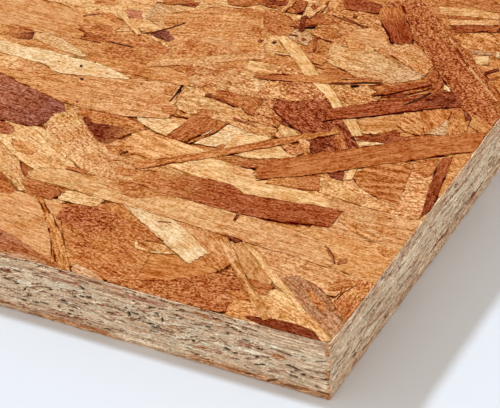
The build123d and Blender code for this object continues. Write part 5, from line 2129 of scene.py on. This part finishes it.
@dataclass
class Studio:
    """Floor, light and camera. Angles are in degrees and the lens is given in pixels."""

    board: Board
    azimuth: float = 27.05
    elevation: float = 34.11
    roll: float = -1.53
    focal_pixels: float = 2500.0
    picture: Point = (500.0, 408.0)
    corner_pixel: Point = (330.05, 343.63)
    distance: float = 611.5
    sensor_width: float = 36.0
    nearest: float = 0.01
    furthest: float = 200.0
    sky_colour: Colour = (1.0, 0.88, 0.77)
    sky_strength: float = 0.61
    floor_reach: float = 40.0
    floor_colour: Colour = linear(228, 233, 239)
    floor_roughness: float = 0.9

    def camera(self) -> None:
        """Set the camera where the picture was taken from, by the pixel of the corner's top point."""
        turn = math.radians(self.azimuth)
        tilt = math.radians(self.elevation)
        roll = math.radians(self.roll)
        back = Vector((math.sin(turn) * math.cos(tilt), -math.cos(turn) * math.cos(tilt), math.sin(tilt)))
        level = Vector((math.cos(turn), math.sin(turn), 0.0))
        upright = back.cross(level)
        right = math.cos(roll) * level + math.sin(roll) * upright
        up = math.cos(roll) * upright - math.sin(roll) * level
        scale = self.distance / self.focal_pixels
        aside = (self.corner_pixel[0] - self.picture[0] / 2) * scale
        above = (self.picture[1] / 2 - self.corner_pixel[1]) * scale
        corner = Vector((*self.board.near_corner(), self.board.thickness))
        place = (corner - aside * right - above * up + self.distance * back) * MILLIMETRE
        lens = bpy.data.cameras.new("camera")
        lens.sensor_width = self.sensor_width
        lens.lens = self.focal_pixels / self.picture[0] * lens.sensor_width
        lens.clip_start = self.nearest
        lens.clip_end = self.furthest
        camera = bpy.data.objects.new("camera", lens)
        camera.matrix_world = Matrix.Translation(place) @ Matrix((right, up, back)).transposed().to_4x4()
        bpy.context.scene.collection.objects.link(camera)
        bpy.context.scene.camera = camera

    def lamps(self) -> None:
        """Add a main lamp from the back left, two broad fills and an even sky."""
        Lamp("main_lamp", 2.75, (0.74, 0.87, 1.0), 5.0, (22.9, -3.6, -18.0)).build()
        Lamp("front_fill", 0.45, (1.0, 0.96, 0.91), 70.0, (1.0, 1.0, -0.8)).build()
        Lamp("right_fill", 0.55, (0.72, 0.84, 1.0), 60.0, (-1.0, 0.1, -0.25)).build()
        world = bpy.data.worlds.new("sky")
        world.use_nodes = True
        background = world.node_tree.nodes["Background"]
        background.inputs["Color"].default_value = (*self.sky_colour, 1.0)
        background.inputs["Strength"].default_value = self.sky_strength
        bpy.context.scene.world = world

    def floor(self) -> None:
        """Lay a wide pale floor under the sheet."""
        reach = self.floor_reach
        mesh = bpy.data.meshes.new("floor")
        corners = [(-reach, -reach, 0), (reach, -reach, 0), (reach, reach, 0), (-reach, reach, 0)]
        mesh.from_pydata(corners, [], [(0, 1, 2, 3)])
        recipe = Recipe("pale_floor")
        recipe.dressed((*self.floor_colour, 1.0), self.floor_roughness, 0.0)
        mesh.materials.append(recipe.material)
        floor = bpy.data.objects.new("floor", mesh)
        bpy.context.scene.collection.objects.link(floor)

    def build(self) -> None:
        """Set the view transform, camera, light and floor."""
        bpy.context.scene.view_settings.view_transform = "Standard"
        self.camera()
        self.lamps()
        self.floor()


def main() -> None:
    """Build the sheet's pieces in order, light them and note the sizes."""
    logging.basicConfig(level=logging.INFO, format="%(message)s")
    board = Board.from_frame()
    strands = StrandFinish().material()
    PanelCore(board).build(CoreFinish().material())
    pile, surface = NearCorner(board).build(strands)
    ScatteredFace(board, faces_up=True, seed=21).build("upper_strands", strands, parts=6, taken=pile)
    ScatteredFace(board, faces_up=False, seed=22).build("lower_strands", strands, parts=3)
    SawnBand(board).build(SawnFinish().material(), surface)
    Studio(board).build()


if __name__ == "__main__":
    main()
